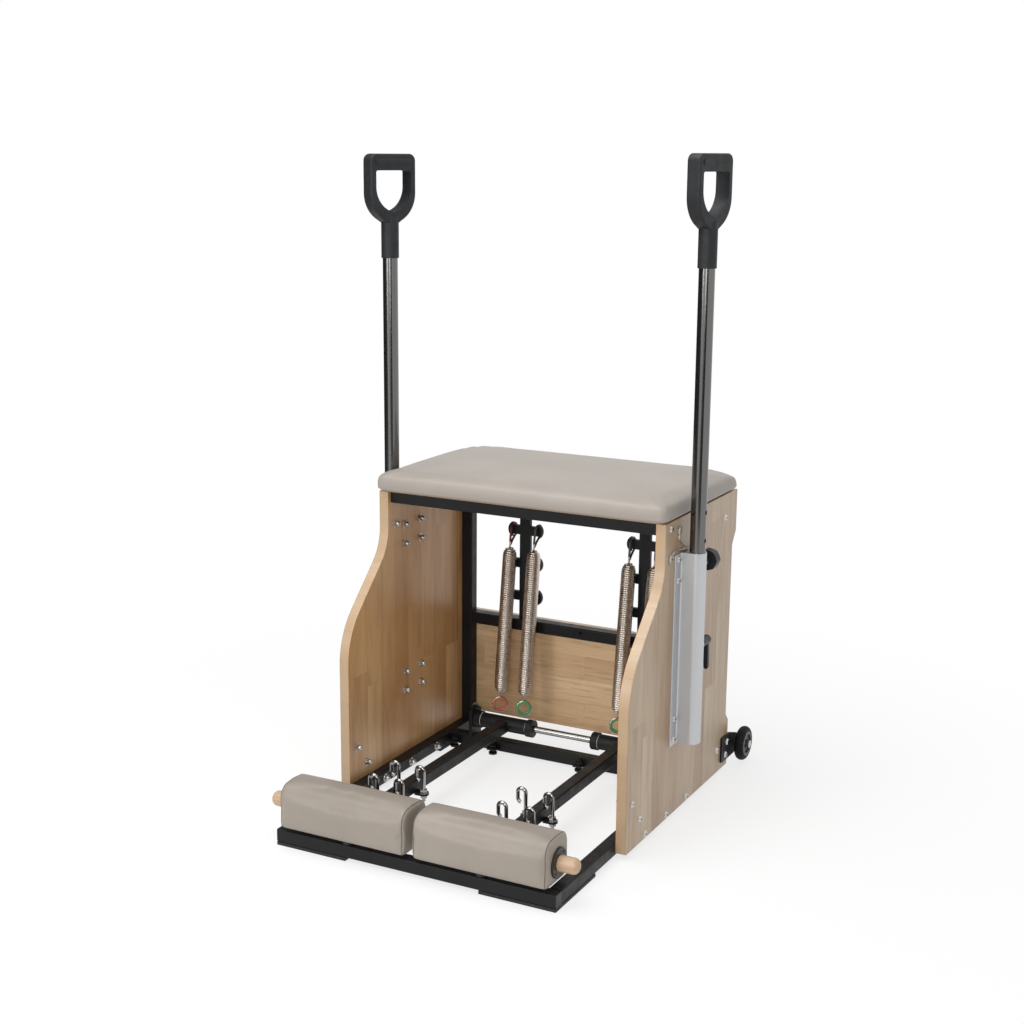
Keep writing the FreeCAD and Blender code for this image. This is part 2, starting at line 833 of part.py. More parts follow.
def build_pedals():
    arm = pedal_arm()
    bush = bushes()
    lo = V(pad_inner + core_inset, pad_y + core_inset, pad_bottom + core_inset)
    hi = V(pad_outer - core_inset, pad_rear - core_inset, pad_bottom + pad_h - core_inset)
    block = box(lo, hi)
    inner_end = V(lo.x, dowel_y, dowel_z)
    outer_end = V(dowel_out, dowel_y, dowel_z)
    bore = rod(dowel_r + press_gap, inner_end, outer_end)
    sections = []
    for end_share, inset_share in pad_shares:
        sections.append(pad_wire(pad_draw * inset_share, pad_inner + pad_end * end_share))
    for end_share, inset_share in reversed(pad_shares):
        sections.append(pad_wire(pad_draw * inset_share, pad_outer - pad_end * end_share))
    pad = Part.makeLoft(sections, True, True).cut(block).cut(bore)
    dowel = rod(dowel_r, inner_end, outer_end)
    tip = [e for e in dowel.Edges if abs(e.CenterOfMass.x - dowel_out) < same_point]
    dowel = dowel.makeFillet(dowel_round, tip)
    face = V(pad_outer, dowel_y, dowel_z)
    flange = rod(flange_r, face, face + XDIR * flange_t)
    rim = [e for e in flange.Edges if abs(e.CenterOfMass.x - pad_outer - flange_t) < same_point]
    flange = flange.makeFillet(flange_round, rim)
    heads = []
    for i in range(flange_screws):
        turn = math.pi * (2 * i + 1) / flange_screws
        spot = face + V(flange_t, flange_screw_ring * math.cos(turn), flange_screw_ring * math.sin(turn))
        tip_r = flange_screw_r * screw_cone_share
        heads.append(Part.makeCone(flange_screw_r, tip_r, flange_screw_h, spot, XDIR))
    flange = join([flange] + heads).cut(bore)
    pieces = (("pedal_arm", arm), ("pedal_bushes", bush), ("pedal_core", block.cut(bore)), ("pedal_pad", pad),
              ("pedal_dowel", dowel), ("dowel_flange", flange))
    for name, shape in pieces:
        save(name + "_right", shape)
        save(name + "_left", mirrored(shape))
    for name, x in (("left", -arm_x), ("right", arm_x)):
        hooks = []
        for off in tab_offs:
            for side in (-1, 1):
                hooks.append(hook(x + side * tab_side, front_y + off))
        save("pedal_hooks_" + name, group(hooks))
    stop_y = front_y + tube / 2
    stop = rod(stop_r, V(arm_x, stop_y, base_top), V(arm_x, stop_y, pad_bottom - stop_gap))
    save("pedal_stops", group([stop, mirrored(stop)]))


def build_sleeves(bolts):
    """Aluminium sleeve of the right pole with the two threaded bosses on its rear side."""
    face = panel_x + hat_flange_t
    nose = pole_x + pole_r + run_gap + hat_wall
    wide = hat_half_w
    corners = ((panel_x, -wide, 0), (face, -wide, hat_flange_r), (face, -hat_root, hat_root_r),
               (nose, -hat_nose, hat_nose_r), (nose, hat_nose, hat_nose_r),
               (face, hat_root, hat_root_r), (face, wide, hat_flange_r), (panel_x, wide, 0))
    hat = slab(outline(corners), hat_top - hat_bottom)
    hat.translate(V(0, pole_y, hat_bottom))
    pieces = [hat]
    holes = []
    for z in (knob_z, lever_z):
        spot = V(pole_x, pole_y, z)
        pieces.append(rod(boss_r, spot, spot + YDIR * boss_len))
        holes.append(rod(stem_r + run_gap, spot, spot + YDIR * (boss_len + overrun)))
    low = V(pole_x, pole_y, hat_bottom - overrun)
    high = V(pole_x, pole_y, hat_top + overrun)
    holes.append(rod(pole_r + run_gap, low, high))
    half = hat_pocket_half
    holes.append(box(V(panel_x, pole_y - half, hat_bottom - overrun),
                     V(panel_x + hat_pocket_depth, pole_y + half, hat_top + overrun)))
    sleeve = join(pieces)
    for hole in holes + bolts:
        sleeve = sleeve.cut(hole)
    save("sleeve_right", sleeve)
    save("sleeve_left", mirrored(sleeve))


def build_knobs():
    stem_start = pole_r + stem_tip_gap
    spot = V(pole_x, pole_y, knob_z)
    seat = spot + YDIR * knob_reach
    cap = seat + YDIR * knob_len
    pieces = [rod(knob_core_r, seat, cap), rod(knob_hub_r, spot + YDIR * (boss_len + seat_gap), seat)]
    for i in range(knob_lobes):
        turn = 2 * math.pi * i / knob_lobes
        side = V(knob_lobe_ring * math.cos(turn), 0, knob_lobe_ring * math.sin(turn))
        pieces.append(rod(knob_lobe_r, seat + side, cap + side))
    pieces.append(rod(stem_r, spot + YDIR * stem_start, seat))
    knob = join(pieces)
    save("star_knob_right", knob)
    save("star_knob_left", mirrored(knob))
    spot = V(pole_x, pole_y, lever_z)
    seat = spot + YDIR * lever_reach
    hub = rod(lever_hub_r, spot + YDIR * (boss_len + seat_gap), seat + YDIR * lever_hub_len)
    half = lever_w / 2
    tip = lever_tip_w / 2
    corners = ((-half, 0, 0), (half, 0, 0),
               (tip, -lever_len, lever_tip_round), (-tip, -lever_len, lever_tip_round))
    blade = put(slab(outline(corners), lever_t), ZERO, XDIR, ZDIR)
    blade.rotate(ZERO, XDIR, lever_angle)
    blade.translate(seat + YDIR * lever_hub_len)
    stem = rod(stem_r, spot + YDIR * stem_start, seat)
    lever = join([hub, blade, stem])
    save("clamp_lever_right", lever)
    save("clamp_lever_left", mirrored(lever))


def handle_shape():
    """D handle drawn upright with its socket foot at 0 and its grip along X."""
    half = handle_w / 2
    inner = half - handle_strap
    roof = handle_h - 2 * handle_grip_r
    root = handle_root_half
    neck = handle_elbow - (half - root) * math.tan(math.radians(handle_flare_angle))
    outer = ((-root, handle_root, 0), (root, handle_root, 0), (root, neck, handle_neck_r),
             (half, handle_elbow, handle_elbow_r), (half, handle_h, handle_corner_r),
             (-half, handle_h, handle_corner_r), (-half, handle_elbow, handle_elbow_r),
             (-root, neck, handle_neck_r))
    sill = handle_apex + inner * math.tan(math.radians(handle_apex_angle))
    hole = ((inner, sill, handle_inner_r), (inner, roof, handle_round), (-inner, roof, handle_round),
            (-inner, sill, handle_inner_r), (0, handle_apex, handle_round))
    blade = slab(outline(outer), handle_depth)
    low_edge = [e for e in blade.Edges if e.BoundBox.YMin < handle_root + same_point]
    sides = [e for e in blade.Edges if e.BoundBox.ZLength < same_point]
    rounded = [e for e in sides if not any(e.isSame(k) for k in low_edge)]
    blade = blade.makeFillet(handle_round, rounded)
    blade = blade.cut(slab(outline(hole), handle_depth))
    blade = put(blade, V(0, handle_depth / 2, 0), XDIR, ZDIR)
    grip_z = handle_h - handle_grip_r
    grip = rod(handle_grip_r, V(-inner, 0, grip_z), V(inner, 0, grip_z))
    socket = rod(socket_r, ZERO, ZDIR * socket_len)
    shape = join([blade, grip, socket])
    return shape.cut(rod(pole_r + press_gap, ZERO, ZDIR * socket_depth))


def build_poles():
    low = V(pole_x, pole_y, pole_bottom)
    high = V(pole_x, pole_y, handle_bottom + socket_depth)
    pole = rod(pole_r, low, high).cut(rod(pole_r - pole_wall, low, high))
    for i in range(pole_holes):
        spot = V(pole_x, pole_y, pole_hole_first - pole_hole_pitch * i)
        pole = pole.cut(rod(pole_hole_r, spot, spot + XDIR * (pole_r + overrun)))
    places = (("left", -pole_x, 0, left_handle_angle), ("right", pole_x, right_pole_rise, right_handle_angle))
    for name, x, rise, turn in places:
        raised = pole if x > 0 else mirrored(pole)
        raised.translate(V(0, 0, rise))
        save("pole_" + name, raised)
        handle = handle_shape()
        handle.rotate(ZERO, ZDIR, turn)
        handle.translate(V(x, pole_y, handle_bottom + rise))
        save("handle_" + name, handle)


def build_wheels(bolts):
    inner = panel_x + wheel_plate_t + wheel_gap
    outer = inner + wheel_w
    spot = V(0, wheel_y, wheel_z)
    corners = [(wheel_y + off, wheel_z + rise, r) for off, rise, r in wheel_plate]
    plate = put(slab(outline(corners), wheel_plate_t), V(panel_x, 0, 0), YDIR, ZDIR)
    plate = plate.cut(rod(axle_r + press_gap, spot, spot + XDIR * outer)).cut(group(bolts))
    save("wheel_brackets", group([plate, mirrored(plate)]))
    cap = outer + seat_gap
    spacer = inner - seat_gap
    pieces = [rod(axle_r, spot + XDIR * panel_x, spot + XDIR * cap)]
    pieces.append(rod(axle_head_r, spot + XDIR * (panel_x + wheel_plate_t), spot + XDIR * spacer))
    pieces.append(rod(axle_head_r, spot + XDIR * cap, spot + XDIR * (cap + axle_head_t)))
    pieces.append(hexagon(axle_head_r, axle_head_t, spot + XDIR * panel_x, XDIR * -1))
    axle = join(pieces)
    save("wheel_axles", group([axle, mirrored(axle)]))
    tyre = rod(wheel_r, spot + XDIR * inner, spot + XDIR * outer)
    rims = [e for e in tyre.Edges if e.BoundBox.XLength < same_point]
    tyre = tyre.makeFillet(tyre_round, rims)
    bore = rod(tyre_in_r, spot + XDIR * inner, spot + XDIR * outer)
    save("wheel_tyre_right", tyre.cut(bore))
    save("wheel_tyre_left", mirrored(tyre.cut(bore)))
    dish = rod(hub_dish_r, spot + XDIR * (outer - hub_dish), spot + XDIR * outer)
    dish = dish.cut(rod(hub_boss_r, spot + XDIR * inner, spot + XDIR * outer))
    hub = bore.cut(dish).cut(rod(axle_r + run_gap, spot + XDIR * inner, spot + XDIR * outer))
    save("wheel_hub_right", hub)
    save("wheel_hub_left", mirrored(hub))


def build_studs():
    face = pivot_y - tube / 2
    studs = []
    for off in stud_offs:
        x = off - stud_x
        y = face - stud_tab_len / 2
        tab = box(V(x - stud_tab_w / 2, face - stud_tab_len, stud_tab_z),
                  V(x + stud_tab_w / 2, face, stud_tab_z + stud_tab_t))
        screw = rod(stud_r, V(x, y, stud_low), V(x, y, stud_high))
        foot = rod(stud_foot_r, V(x, y, stud_low), V(x, y, stud_low + stud_foot_t))
        nut = hexagon(stud_nut_r, stud_nut_h, V(x, y, stud_tab_z + stud_tab_t), ZDIR)
        studs.append(join([tab, screw, foot, nut]))
    save("levelling_studs", group(studs))


def build_all():
    bolts = bolt_set()
    sleeve_bolts = sleeve_bolt_set()
    save("panel_bolts", group(bolts + [mirrored(b) for b in bolts]))
    save("sleeve_bolts", group(sleeve_bolts + [mirrored(b) for b in sleeve_bolts]))
    build_frame(bolts)
    build_panels(bolts + sleeve_bolts)
    build_seat()
    build_trees()
    build_pivot()
    build_pedals()
    build_sleeves(sleeve_bolts)
    build_knobs()
    build_poles()
    build_wheels(bolts)
    build_studs()
    build_springs()


build_all()
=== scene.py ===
"""Finishes, soft pieces and stage of a split-pedal pilates chair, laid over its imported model."""

import json
import math

import bmesh
import bpy
from bpy.props import FloatProperty, FloatVectorProperty, IntProperty, PointerProperty
from mathutils import Matrix, Vector
from mathutils.bvhtree import BVHTree


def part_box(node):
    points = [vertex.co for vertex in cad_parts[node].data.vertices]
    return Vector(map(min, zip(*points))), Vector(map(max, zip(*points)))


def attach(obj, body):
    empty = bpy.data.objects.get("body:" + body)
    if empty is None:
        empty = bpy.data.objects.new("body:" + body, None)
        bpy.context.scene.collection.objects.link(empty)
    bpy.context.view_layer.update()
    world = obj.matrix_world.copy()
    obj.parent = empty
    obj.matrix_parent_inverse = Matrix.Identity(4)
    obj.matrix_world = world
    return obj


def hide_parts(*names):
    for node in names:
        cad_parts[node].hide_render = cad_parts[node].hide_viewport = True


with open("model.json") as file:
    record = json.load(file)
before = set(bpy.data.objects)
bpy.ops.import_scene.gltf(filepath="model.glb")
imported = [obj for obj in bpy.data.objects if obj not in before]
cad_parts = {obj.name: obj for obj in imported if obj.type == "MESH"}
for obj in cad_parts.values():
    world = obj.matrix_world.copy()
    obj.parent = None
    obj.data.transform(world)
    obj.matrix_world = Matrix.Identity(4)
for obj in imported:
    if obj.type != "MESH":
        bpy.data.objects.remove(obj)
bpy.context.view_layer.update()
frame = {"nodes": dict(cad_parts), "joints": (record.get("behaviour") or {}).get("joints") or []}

bl_info = {
    "name": "Pilates chair",
    "version": (1, 0, 0),
    "blender": (4, 5, 0),
    "location": "View3D > Sidebar > Chair",
    "description": "Dresses the packed pilates chair and sets its studio",
    "category": "Object",
}

SIDES = ("left", "right")
SPRINGS = ("left_outer", "left_inner", "right_inner", "right_outer")
STEEL = ("base_front_rail", "base_side_rails", "base_rear_rail", "rear_posts", "top_rails", "mid_rear_rail",
         "spring_tree_left", "spring_tree_right", "shaft_brackets", "shaft_collars", "wheel_brackets",
         "pedal_arm_left", "pedal_arm_right", "levelling_studs")
BRIGHT = ("panel_bolts", "sleeve_bolts", "wheel_axles")
POLISHED = ("pivot_shaft", "pedal_hooks_left", "pedal_hooks_right")
TURN = 2.0 * math.pi
WHITE = (1.0, 1.0, 1.0, 1.0)
BLACK = (0.0, 0.0, 0.0)

# Colour, roughness, scale of the grain and gloss of the plastics, rubbers and thread.
PLASTICS = {
    "foot_rubber": ((0.012, 0.012, 0.012), 0.75, 700.0, 0.5),
    "plug_plastic": ((0.014, 0.014, 0.015), 0.5, 900.0, 0.5),
    "bush_plastic": ((0.62, 0.60, 0.55), 0.4, 900.0, 0.5),
    "seam_thread": ((0.105, 0.09, 0.076), 0.7, 1500.0, 0.5),
    "flange_plastic": ((0.021, 0.014, 0.009), 0.4, 900.0, 0.35),
    "red_tube": ((0.085, 0.010, 0.022), 0.4, 800.0, 0.5),
    "green_tube": ((0.045, 0.058, 0.050), 0.4, 800.0, 0.5),
    "knob_plastic": ((0.011, 0.011, 0.012), 0.4, 900.0, 0.35),
    "wheel_rubber": ((0.006, 0.006, 0.0062), 0.6, 600.0, 0.15),
    "wheel_plastic": ((0.05, 0.05, 0.052), 0.45, 800.0, 0.5),
}

# Colour, roughness and relief of the plated metals.
METALS = {
    "ring_wire": ((0.50, 0.49, 0.475), 0.16, 0.12),
    "bright_plate": ((0.56, 0.545, 0.52), 0.2, 0.12),
    "polished_steel": ((0.36, 0.355, 0.345), 0.14, 0.0),
}
PLYWOOD = (0.34, 0.23, 0.14)
ALUMINIUM = (0.56, 0.565, 0.575)

# Width of the eased edges of the plates, feet, sleeves and knobs.
PLATE_EASE = 0.0006
FOOT_EASE = 0.0008
SLEEVE_EASE = 0.0005
KNOB_EASE = 0.0012

# Stretch of the wood's figure along a stave, across it and from one stave to the next.
STREAK = (5.0, 70.0, 9.0)
PORE = (38.0, 1150.0, 30.0)
CLOUD = (3.0, 11.0, 4.0)
VEIN = (1.6, 26.0, 7.0)
DASH = (15.0, 170.0, 11.0)
SIDE_FLECKS = 0.15
BACK_FLECKS = 0.5
EDGE_PLAIN = (0.6, 0.6, 0.6)
EDGE_BAND = 0.06

# Cushions: frames and pressure of the swelling, and the height over the underside that stays held.
CLOTH_FRAMES = 20
CLOTH_PRESSURE = 4.0
HELD = 0.004

# Seat: inset, height and rear corner radius of the outline, from the underside to the crown.
SEAT_PROFILE = (
    (0.006, 0.0, 0.015), (0.0018, 0.003, 0.017), (0.0006, 0.009, 0.019), (0.0006, 0.018, 0.023),
    (0.0014, 0.0240, 0.031), (0.0036, 0.0285, 0.042), (0.0085, 0.0325, 0.056), (0.0175, 0.0353, 0.069),
    (0.031, 0.0372, 0.078), (0.052, 0.0382, 0.080), (0.085, 0.0388, 0.080), (0.13, 0.039, 0.050))
SEAT_DRAWN = 0.04
SEAT_FRONT_R = 0.018

# Pads: distance from the end and inset of the outline there, then the outline's crown and corner radii.
PAD_ENDS = ((0.0, 0.0045), (0.0015, 0.0022), (0.004, 0.0008), (0.008, 0.0004))
PAD_CUTS = 12
PAD_CROWN = 0.0025
PAD_LOW_R = 0.008
PAD_BACK_R = 0.02
PAD_CROWN_R = 0.15
PAD_FRONT_R = 0.025
SEAM_REACH = 0.02

# Springs: radii, and places along a spring measured from the point that it hangs from.
EYE_R = 0.014
EYE_START = 75.0
EYE_SWEEP = 240.0
EYE_CUTS = 35
EYE_FOOT = -0.040
EYE_ASIDE = 0.0022
EYE_RISE = 0.005
EYE_BACK = -0.034
EYE_LEAD = 0.014
EYE_DROP = 0.012
EYE_BLEND = 11
SLEEVED = slice(3, 51)
SLEEVE_SHARE = 1.25
COIL_R = 0.01525
COIL_NECK = 0.0025
COIL_DOME = 0.017
COIL_TOP = -0.0405
COIL_FOOT = 0.0285
COIL_CUTS = 30
STEM_STEP = 0.0028
RING_R = 0.0152
RING_WIRE = 0.0018
RING_CUTS = 64
# Ring bush: radius and distance from the middle plane round its section.
RING_RIM = (
    (0.0104, -0.003), (0.0104, 0.003), (0.0112, 0.0037), (0.0142, 0.0040), (0.0151, 0.0034), (0.0150, 0.0026),
    (0.0134, 0.0014), (0.0131, 0.0), (0.0134, -0.0014), (0.0150, -0.0026), (0.0151, -0.0034),
    (0.0142, -0.0040), (0.0112, -0.0037))
RIM_CUTS = 56

# Wire clip: Y and Z of the two bolts that it hooks round and of the bends between, in metres.
CLIP_UPPER = (0.0435, 0.573)
CLIP_LOWER = (0.0035, 0.527)
CLIP_BENDS = ((0.0385, 0.5575), (0.0555, 0.5475), (0.0680, 0.5405), (0.0655, 0.5350),
              (0.0420, 0.5365), (0.0180, 0.5400))
CLIP_R = 0.0088
CLIP_UPPER_START = 20.0
CLIP_LOWER_START = 75.0
CLIP_STEP = 24.0
CLIP_CUTS = 6

# Studio: setting, size, place and aim of each lamp, and place, aim, width and height of the dark cards.
CHAIR_MIDDLE = (0.0, 0.25, 0.3)
LAMPS = (
    ("overhead_lamp", "key", 2.4, (-0.5, -0.7, 3.0), (0.0, 0.0, 0.4)),
    ("front_lamp", "fill", 1.1, (-1.3, -3.1, 1.3), CHAIR_MIDDLE),
    ("side_lamp", "side", 1.1, (1.1, -3.1, 1.3), CHAIR_MIDDLE))
CARDS = (
    ("side_card", (-2.4, -1.0, 1.2), (0.0, -1.0, 1.2), 8.0, 5.0),
    ("camera_card", (2.4, -4.1, 1.2), (0.3, 0.1, 1.0), 3.2, 5.0))
CARD_GREY = (0.05, 0.05, 0.05, 1.0)
FLOOR_GREY = (0.88, 0.88, 0.88, 1.0)
FLOOR_DROP = 0.0005
SHADOW_NEAR = 0.45
SHADOW_FAR = 0.6


class ChairFinishes(bpy.types.PropertyGroup):
    """Colours of the chair's materials."""

    steel: FloatVectorProperty(
        name="Frame steel", description="Powder coat of the tube frame", subtype="COLOR", size=3,
        default=(0.0065, 0.0065, 0.007), min=0.0, max=1.0)
    wood_light: FloatVectorProperty(
        name="Light stave", description="Palest stave of the wooden panels", subtype="COLOR", size=3,
        default=(0.70, 0.52, 0.33), min=0.0, max=1.0)
    wood_dark: FloatVectorProperty(
        name="Dark stave", description="Darkest stave of the wooden panels", subtype="COLOR", size=3,
        default=(0.43, 0.232, 0.10), min=0.0, max=1.0)
    leather: FloatVectorProperty(
        name="Seat cover", description="Synthetic leather of the seat", subtype="COLOR", size=3,
        default=(0.318, 0.281, 0.247), min=0.0, max=1.0)
    pad_leather: FloatVectorProperty(
        name="Pedal cover", description="Synthetic leather of the pedal pads", subtype="COLOR", size=3,
        default=(0.275, 0.238, 0.200), min=0.0, max=1.0)
    dowel: FloatVectorProperty(
        name="Dowel", description="Turned wood of the pedal dowels", subtype="COLOR", size=3,
        default=(0.53, 0.365, 0.232), min=0.0, max=1.0)
    pole: FloatVectorProperty(
        name="Pole", description="Polished metal of the handle poles", subtype="COLOR", size=3,
        default=(0.165, 0.164, 0.161), min=0.0, max=1.0)
    grip: FloatVectorProperty(
        name="Handle", description="Moulded plastic of the handles", subtype="COLOR", size=3,
        default=(0.0155, 0.0165, 0.0185), min=0.0, max=1.0)
    heavy: FloatVectorProperty(
        name="Outer rings", description="Plastic of the outer spring rings", subtype="COLOR", size=3,
        default=(0.55, 0.115, 0.08), min=0.0, max=1.0)
    light: FloatVectorProperty(
        name="Inner rings", description="Plastic of the inner spring rings", subtype="COLOR", size=3,
        default=(0.075, 0.32, 0.125), min=0.0, max=1.0)
    spring: FloatVectorProperty(
        name="Spring wire", description="Drawn wire of the springs", subtype="COLOR", size=3,
        default=(0.58, 0.515, 0.455), min=0.0, max=1.0)
    # Painted light: the back panel's staves keep their own pale tone and are painted lighter still, to offset
    # the shade that the seat casts on them.
    brightened_back_pale: FloatVectorProperty(
        name="Light back stave", description="Palest stave of the back panel", subtype="COLOR", size=3,
        default=(0.86, 0.62, 0.38), min=0.0, max=1.0)
    brightened_back_dark: FloatVectorProperty(
        name="Dark back stave", description="Darkest stave of the back panel", subtype="COLOR", size=3,
        default=(0.57, 0.36, 0.18), min=0.0, max=1.0)
    # Painted light and shade: the three tints below multiply the side panels' wood face by face. The inner
    # faces become darker and warmer as painted shade, the edges dimmer and cooler as painted shade, and the
    # outer faces dimmer and greyer as a painted sheen.
    inner_shading: FloatVectorProperty(
        name="Inner lacquer", description="Tint of the side panels' inner faces", subtype="COLOR", size=3,
        default=(0.96, 0.84, 0.63), min=0.0, max=1.0)
    edge_shading: FloatVectorProperty(
        name="Edge lacquer", description="Tint of the side panels' edges", subtype="COLOR", size=3,
        default=(0.80, 0.83, 0.88), min=0.0, max=1.0)
    outer_shading: FloatVectorProperty(
        name="Outer lacquer", description="Tint of the side panels' outer faces", subtype="COLOR", size=3,
        default=(0.73, 0.765, 0.80), min=0.0, max=1.0)


class ChairSizes(bpy.types.PropertyGroup):
    """Sizes of the pieces that are made here."""

    stave: FloatProperty(
        name="Stave width", description="Width of one stave of a wooden panel", unit="LENGTH",
        default=0.052, min=0.02, max=0.2)
    stave_length: FloatProperty(
        name="Stave length", description="Length of one stave between its end joints", unit="LENGTH",
        default=0.34, min=0.05, max=1.0)
    panel_edge: FloatProperty(
        name="Panel edge", description="Round of the panel edges", unit="LENGTH",
        default=0.0018, min=0.0002, max=0.006)
    voxel: FloatProperty(
        name="Cushion grid", description="Spacing of the grid that the cushions swell on", unit="LENGTH",
        default=0.005, min=0.003, max=0.012)
    swell: FloatProperty(
        name="Swell", description="Furthest that a cushion swells", unit="LENGTH",
        default=0.005, min=0.0, max=0.02)
    seam: FloatProperty(
        name="Seam", description="Radius of the seam round a pad's end", unit="LENGTH",
        default=0.0007, min=0.0002, max=0.003)
    seam_inset: FloatProperty(
        name="Seam inset", description="Distance of the seam from a pad's end", unit="LENGTH",
        default=0.0045, min=0.001, max=0.02)
    coil_wire: FloatProperty(
        name="Spring wire", description="Radius of the spring wire", unit="LENGTH",
        default=0.00195, min=0.001, max=0.003)
    coil_rib: FloatProperty(
        name="Spring rib", description="Radius of the rounded rib that each turn of a coil shows",
        unit="LENGTH", default=0.0034, min=0.001, max=0.006)
    coil_pitch: FloatProperty(
        name="Spring pitch", description="Advance of the coil in one turn", unit="LENGTH",
        default=0.0045, min=0.003, max=0.012)
    coil_lean: FloatProperty(
        name="Spring lean", description="Forward lean of the springs", unit="ROTATION", subtype="ANGLE",
        default=math.radians(7.0), min=0.0, max=0.6)
    clip_wire: FloatProperty(
        name="Clip wire", description="Radius of the bent wire clip", unit="LENGTH",
        default=0.0011, min=0.0005, max=0.003)
    ring_turn: FloatProperty(
        name="Ring turn", description="Turn of a spring's ring about the spring",
        unit="ROTATION", subtype="ANGLE", default=math.radians(30.0), min=-1.6, max=1.6)


class ChairStudio(bpy.types.PropertyGroup):
    """Camera and light of the studio."""

    lens: FloatProperty(
        name="Lens", description="Focal length of the camera", unit="CAMERA",
        default=56.79, min=10.0, max=300.0)
    eye: FloatVectorProperty(
        name="Eye", description="Place of the camera", subtype="XYZ", unit="LENGTH", size=3,
        default=(1.38993, -2.68699, 1.26008))
    yaw: FloatProperty(
        name="Yaw", description="Turn of the camera to its left", unit="ROTATION", subtype="ANGLE",
        default=math.radians(27.7))
    pitch: FloatProperty(
        name="Pitch", description="Downward tilt of the camera", unit="ROTATION", subtype="ANGLE",
        default=math.radians(12.62))
    roll: FloatProperty(
        name="Roll", description="Roll of the camera", unit="ROTATION", subtype="ANGLE",
        default=math.radians(0.45))
    sky: FloatProperty(
        name="Room light", description="Strength of the even light from all round",
        default=0.57, min=0.0, max=3.0)
    key: FloatProperty(
        name="Overhead lamp", description="Power of the soft lamp over the chair", unit="POWER",
        default=54.0, min=0.0, max=2000.0)
    fill: FloatProperty(
        name="Front lamp", description="Power of the soft lamp in front of the chair", unit="POWER",
        default=24.0, min=0.0, max=2000.0)
    side: FloatProperty(
        name="Side lamp", description="Power of the soft lamp to the right of the camera", unit="POWER",
        default=27.0, min=0.0, max=2000.0)
    floor: FloatProperty(
        name="Floor", description="Radius of the floor", unit="LENGTH", default=2.6, min=1.0, max=20.0)
    fade: IntProperty(
        name="Shadow", description="Share of the floor that is shaded, in percent",
        default=27, min=0, max=100)


def shader_node(tree, kind, inputs=None, **settings):
    """New node with its settings, its inputs linked to sockets or set to values."""
    made = tree.nodes.new(kind)
    for key, value in settings.items():
        setattr(made, key, value)
    for key, value in (inputs or {}).items():
        if isinstance(value, bpy.types.NodeSocket):
            tree.links.new(value, made.inputs[key])
        else:
            made.inputs[key].default_value = value
    return made


class Finish:
    """One node-built material, with short calls for the nodes that the finishes share."""

    def __init__(self, name, roughness, metallic=0.0):
        self.material = bpy.data.materials.new(name)
        self.material.use_nodes = True
        self.tree = self.material.node_tree
        self.shader = self.tree.nodes["Principled BSDF"]
        self.shader.inputs["Roughness"].default_value = roughness
        self.shader.inputs["Metallic"].default_value = metallic
        self.normal = None

    def node(self, kind, inputs=None, **settings):
        return shader_node(self.tree, kind, inputs, **settings)

    def place(self, scale=(1.0, 1.0, 1.0)):
        """Position on the piece in metres, stretched by scale."""
        where = self.node("ShaderNodeTexCoord").outputs["Object"]
        return self.node("ShaderNodeMapping", {"Vector": where, "Scale": scale}).outputs["Vector"]

    def noise(self, vector, scale, detail=3.0, rough=0.5, twist=0.0):
        made = self.node("ShaderNodeTexNoise", {"Vector": vector, "Scale": scale, "Detail": detail,
                                                "Roughness": rough, "Distortion": twist})
        return made.outputs["Fac"]

    def ramp(self, factor, low, high, start=0.3, stop=0.7):
        made = self.node("ShaderNodeValToRGB", {"Fac": factor})
        first, last = made.color_ramp.elements
        first.position, last.position = start, stop
        first.color = (*low, 1.0)
        last.color = (*high, 1.0)
        return made.outputs["Color"]

    def span(self, factor, low, high, start=0.3, stop=0.7):
        """Number that runs from low to high as factor runs from start to stop."""
        made = self.node("ShaderNodeMapRange", {"Value": factor, "From Min": start, "From Max": stop,
                                                "To Min": low, "To Max": high})
        return made.outputs["Result"]

    def layers(self, factor, colours, width):
        """First colour below width, last one above 1 - width, the middle one between."""
        made = self.node("ShaderNodeValToRGB", {"Fac": factor})
        marks = made.color_ramp.elements
        marks[0].color = (*colours[0], 1.0)
        marks[1].color = (*colours[2], 1.0)
        for place, colour in ((width, colours[0]), (width * 2.0, colours[1]),
                              (1.0 - width * 2.0, colours[1]), (1.0 - width, colours[2])):
            marks.new(place).color = (*colour, 1.0)
        return made.outputs["Color"]

    def mix(self, factor, a, b, blend="MIX"):
        made = self.node("ShaderNodeMix", {0: factor, 6: a, 7: b}, data_type="RGBA", blend_type=blend)
        return made.outputs[2]

    def colour(self, socket):
        self.tree.links.new(socket, self.shader.inputs["Base Color"])

    def roughness(self, socket):
        self.tree.links.new(socket, self.shader.inputs["Roughness"])

    def bump(self, height, depth, strength=1.0):
        """Adds relief of that depth in metres on top of what is there."""
        inputs = {"Height": height, "Distance": depth, "Strength": strength}
        if self.normal is not None:
            inputs["Normal"] = self.normal
        self.normal = self.node("ShaderNodeBump", inputs).outputs["Normal"]
        self.tree.links.new(self.normal, self.shader.inputs["Normal"])


def shade(colour, share):
    return tuple(c * share for c in colour)


def powder_coat(name, colour):
    """Satin coat with fine orange peel and faint dusting."""
    made = Finish(name, 0.42)
    made.shader.inputs["Specular IOR Level"].default_value = 0.22
    spot = made.place()
    made.colour(made.ramp(made.noise(spot, 7.0, 4.0), colour, shade(colour, 1.7)))
    made.roughness(made.span(made.noise(spot, 45.0, 3.0), 0.36, 0.52))
    made.bump(made.noise(spot, 950.0, 2.0), 0.00025, 0.35)
    return made.material


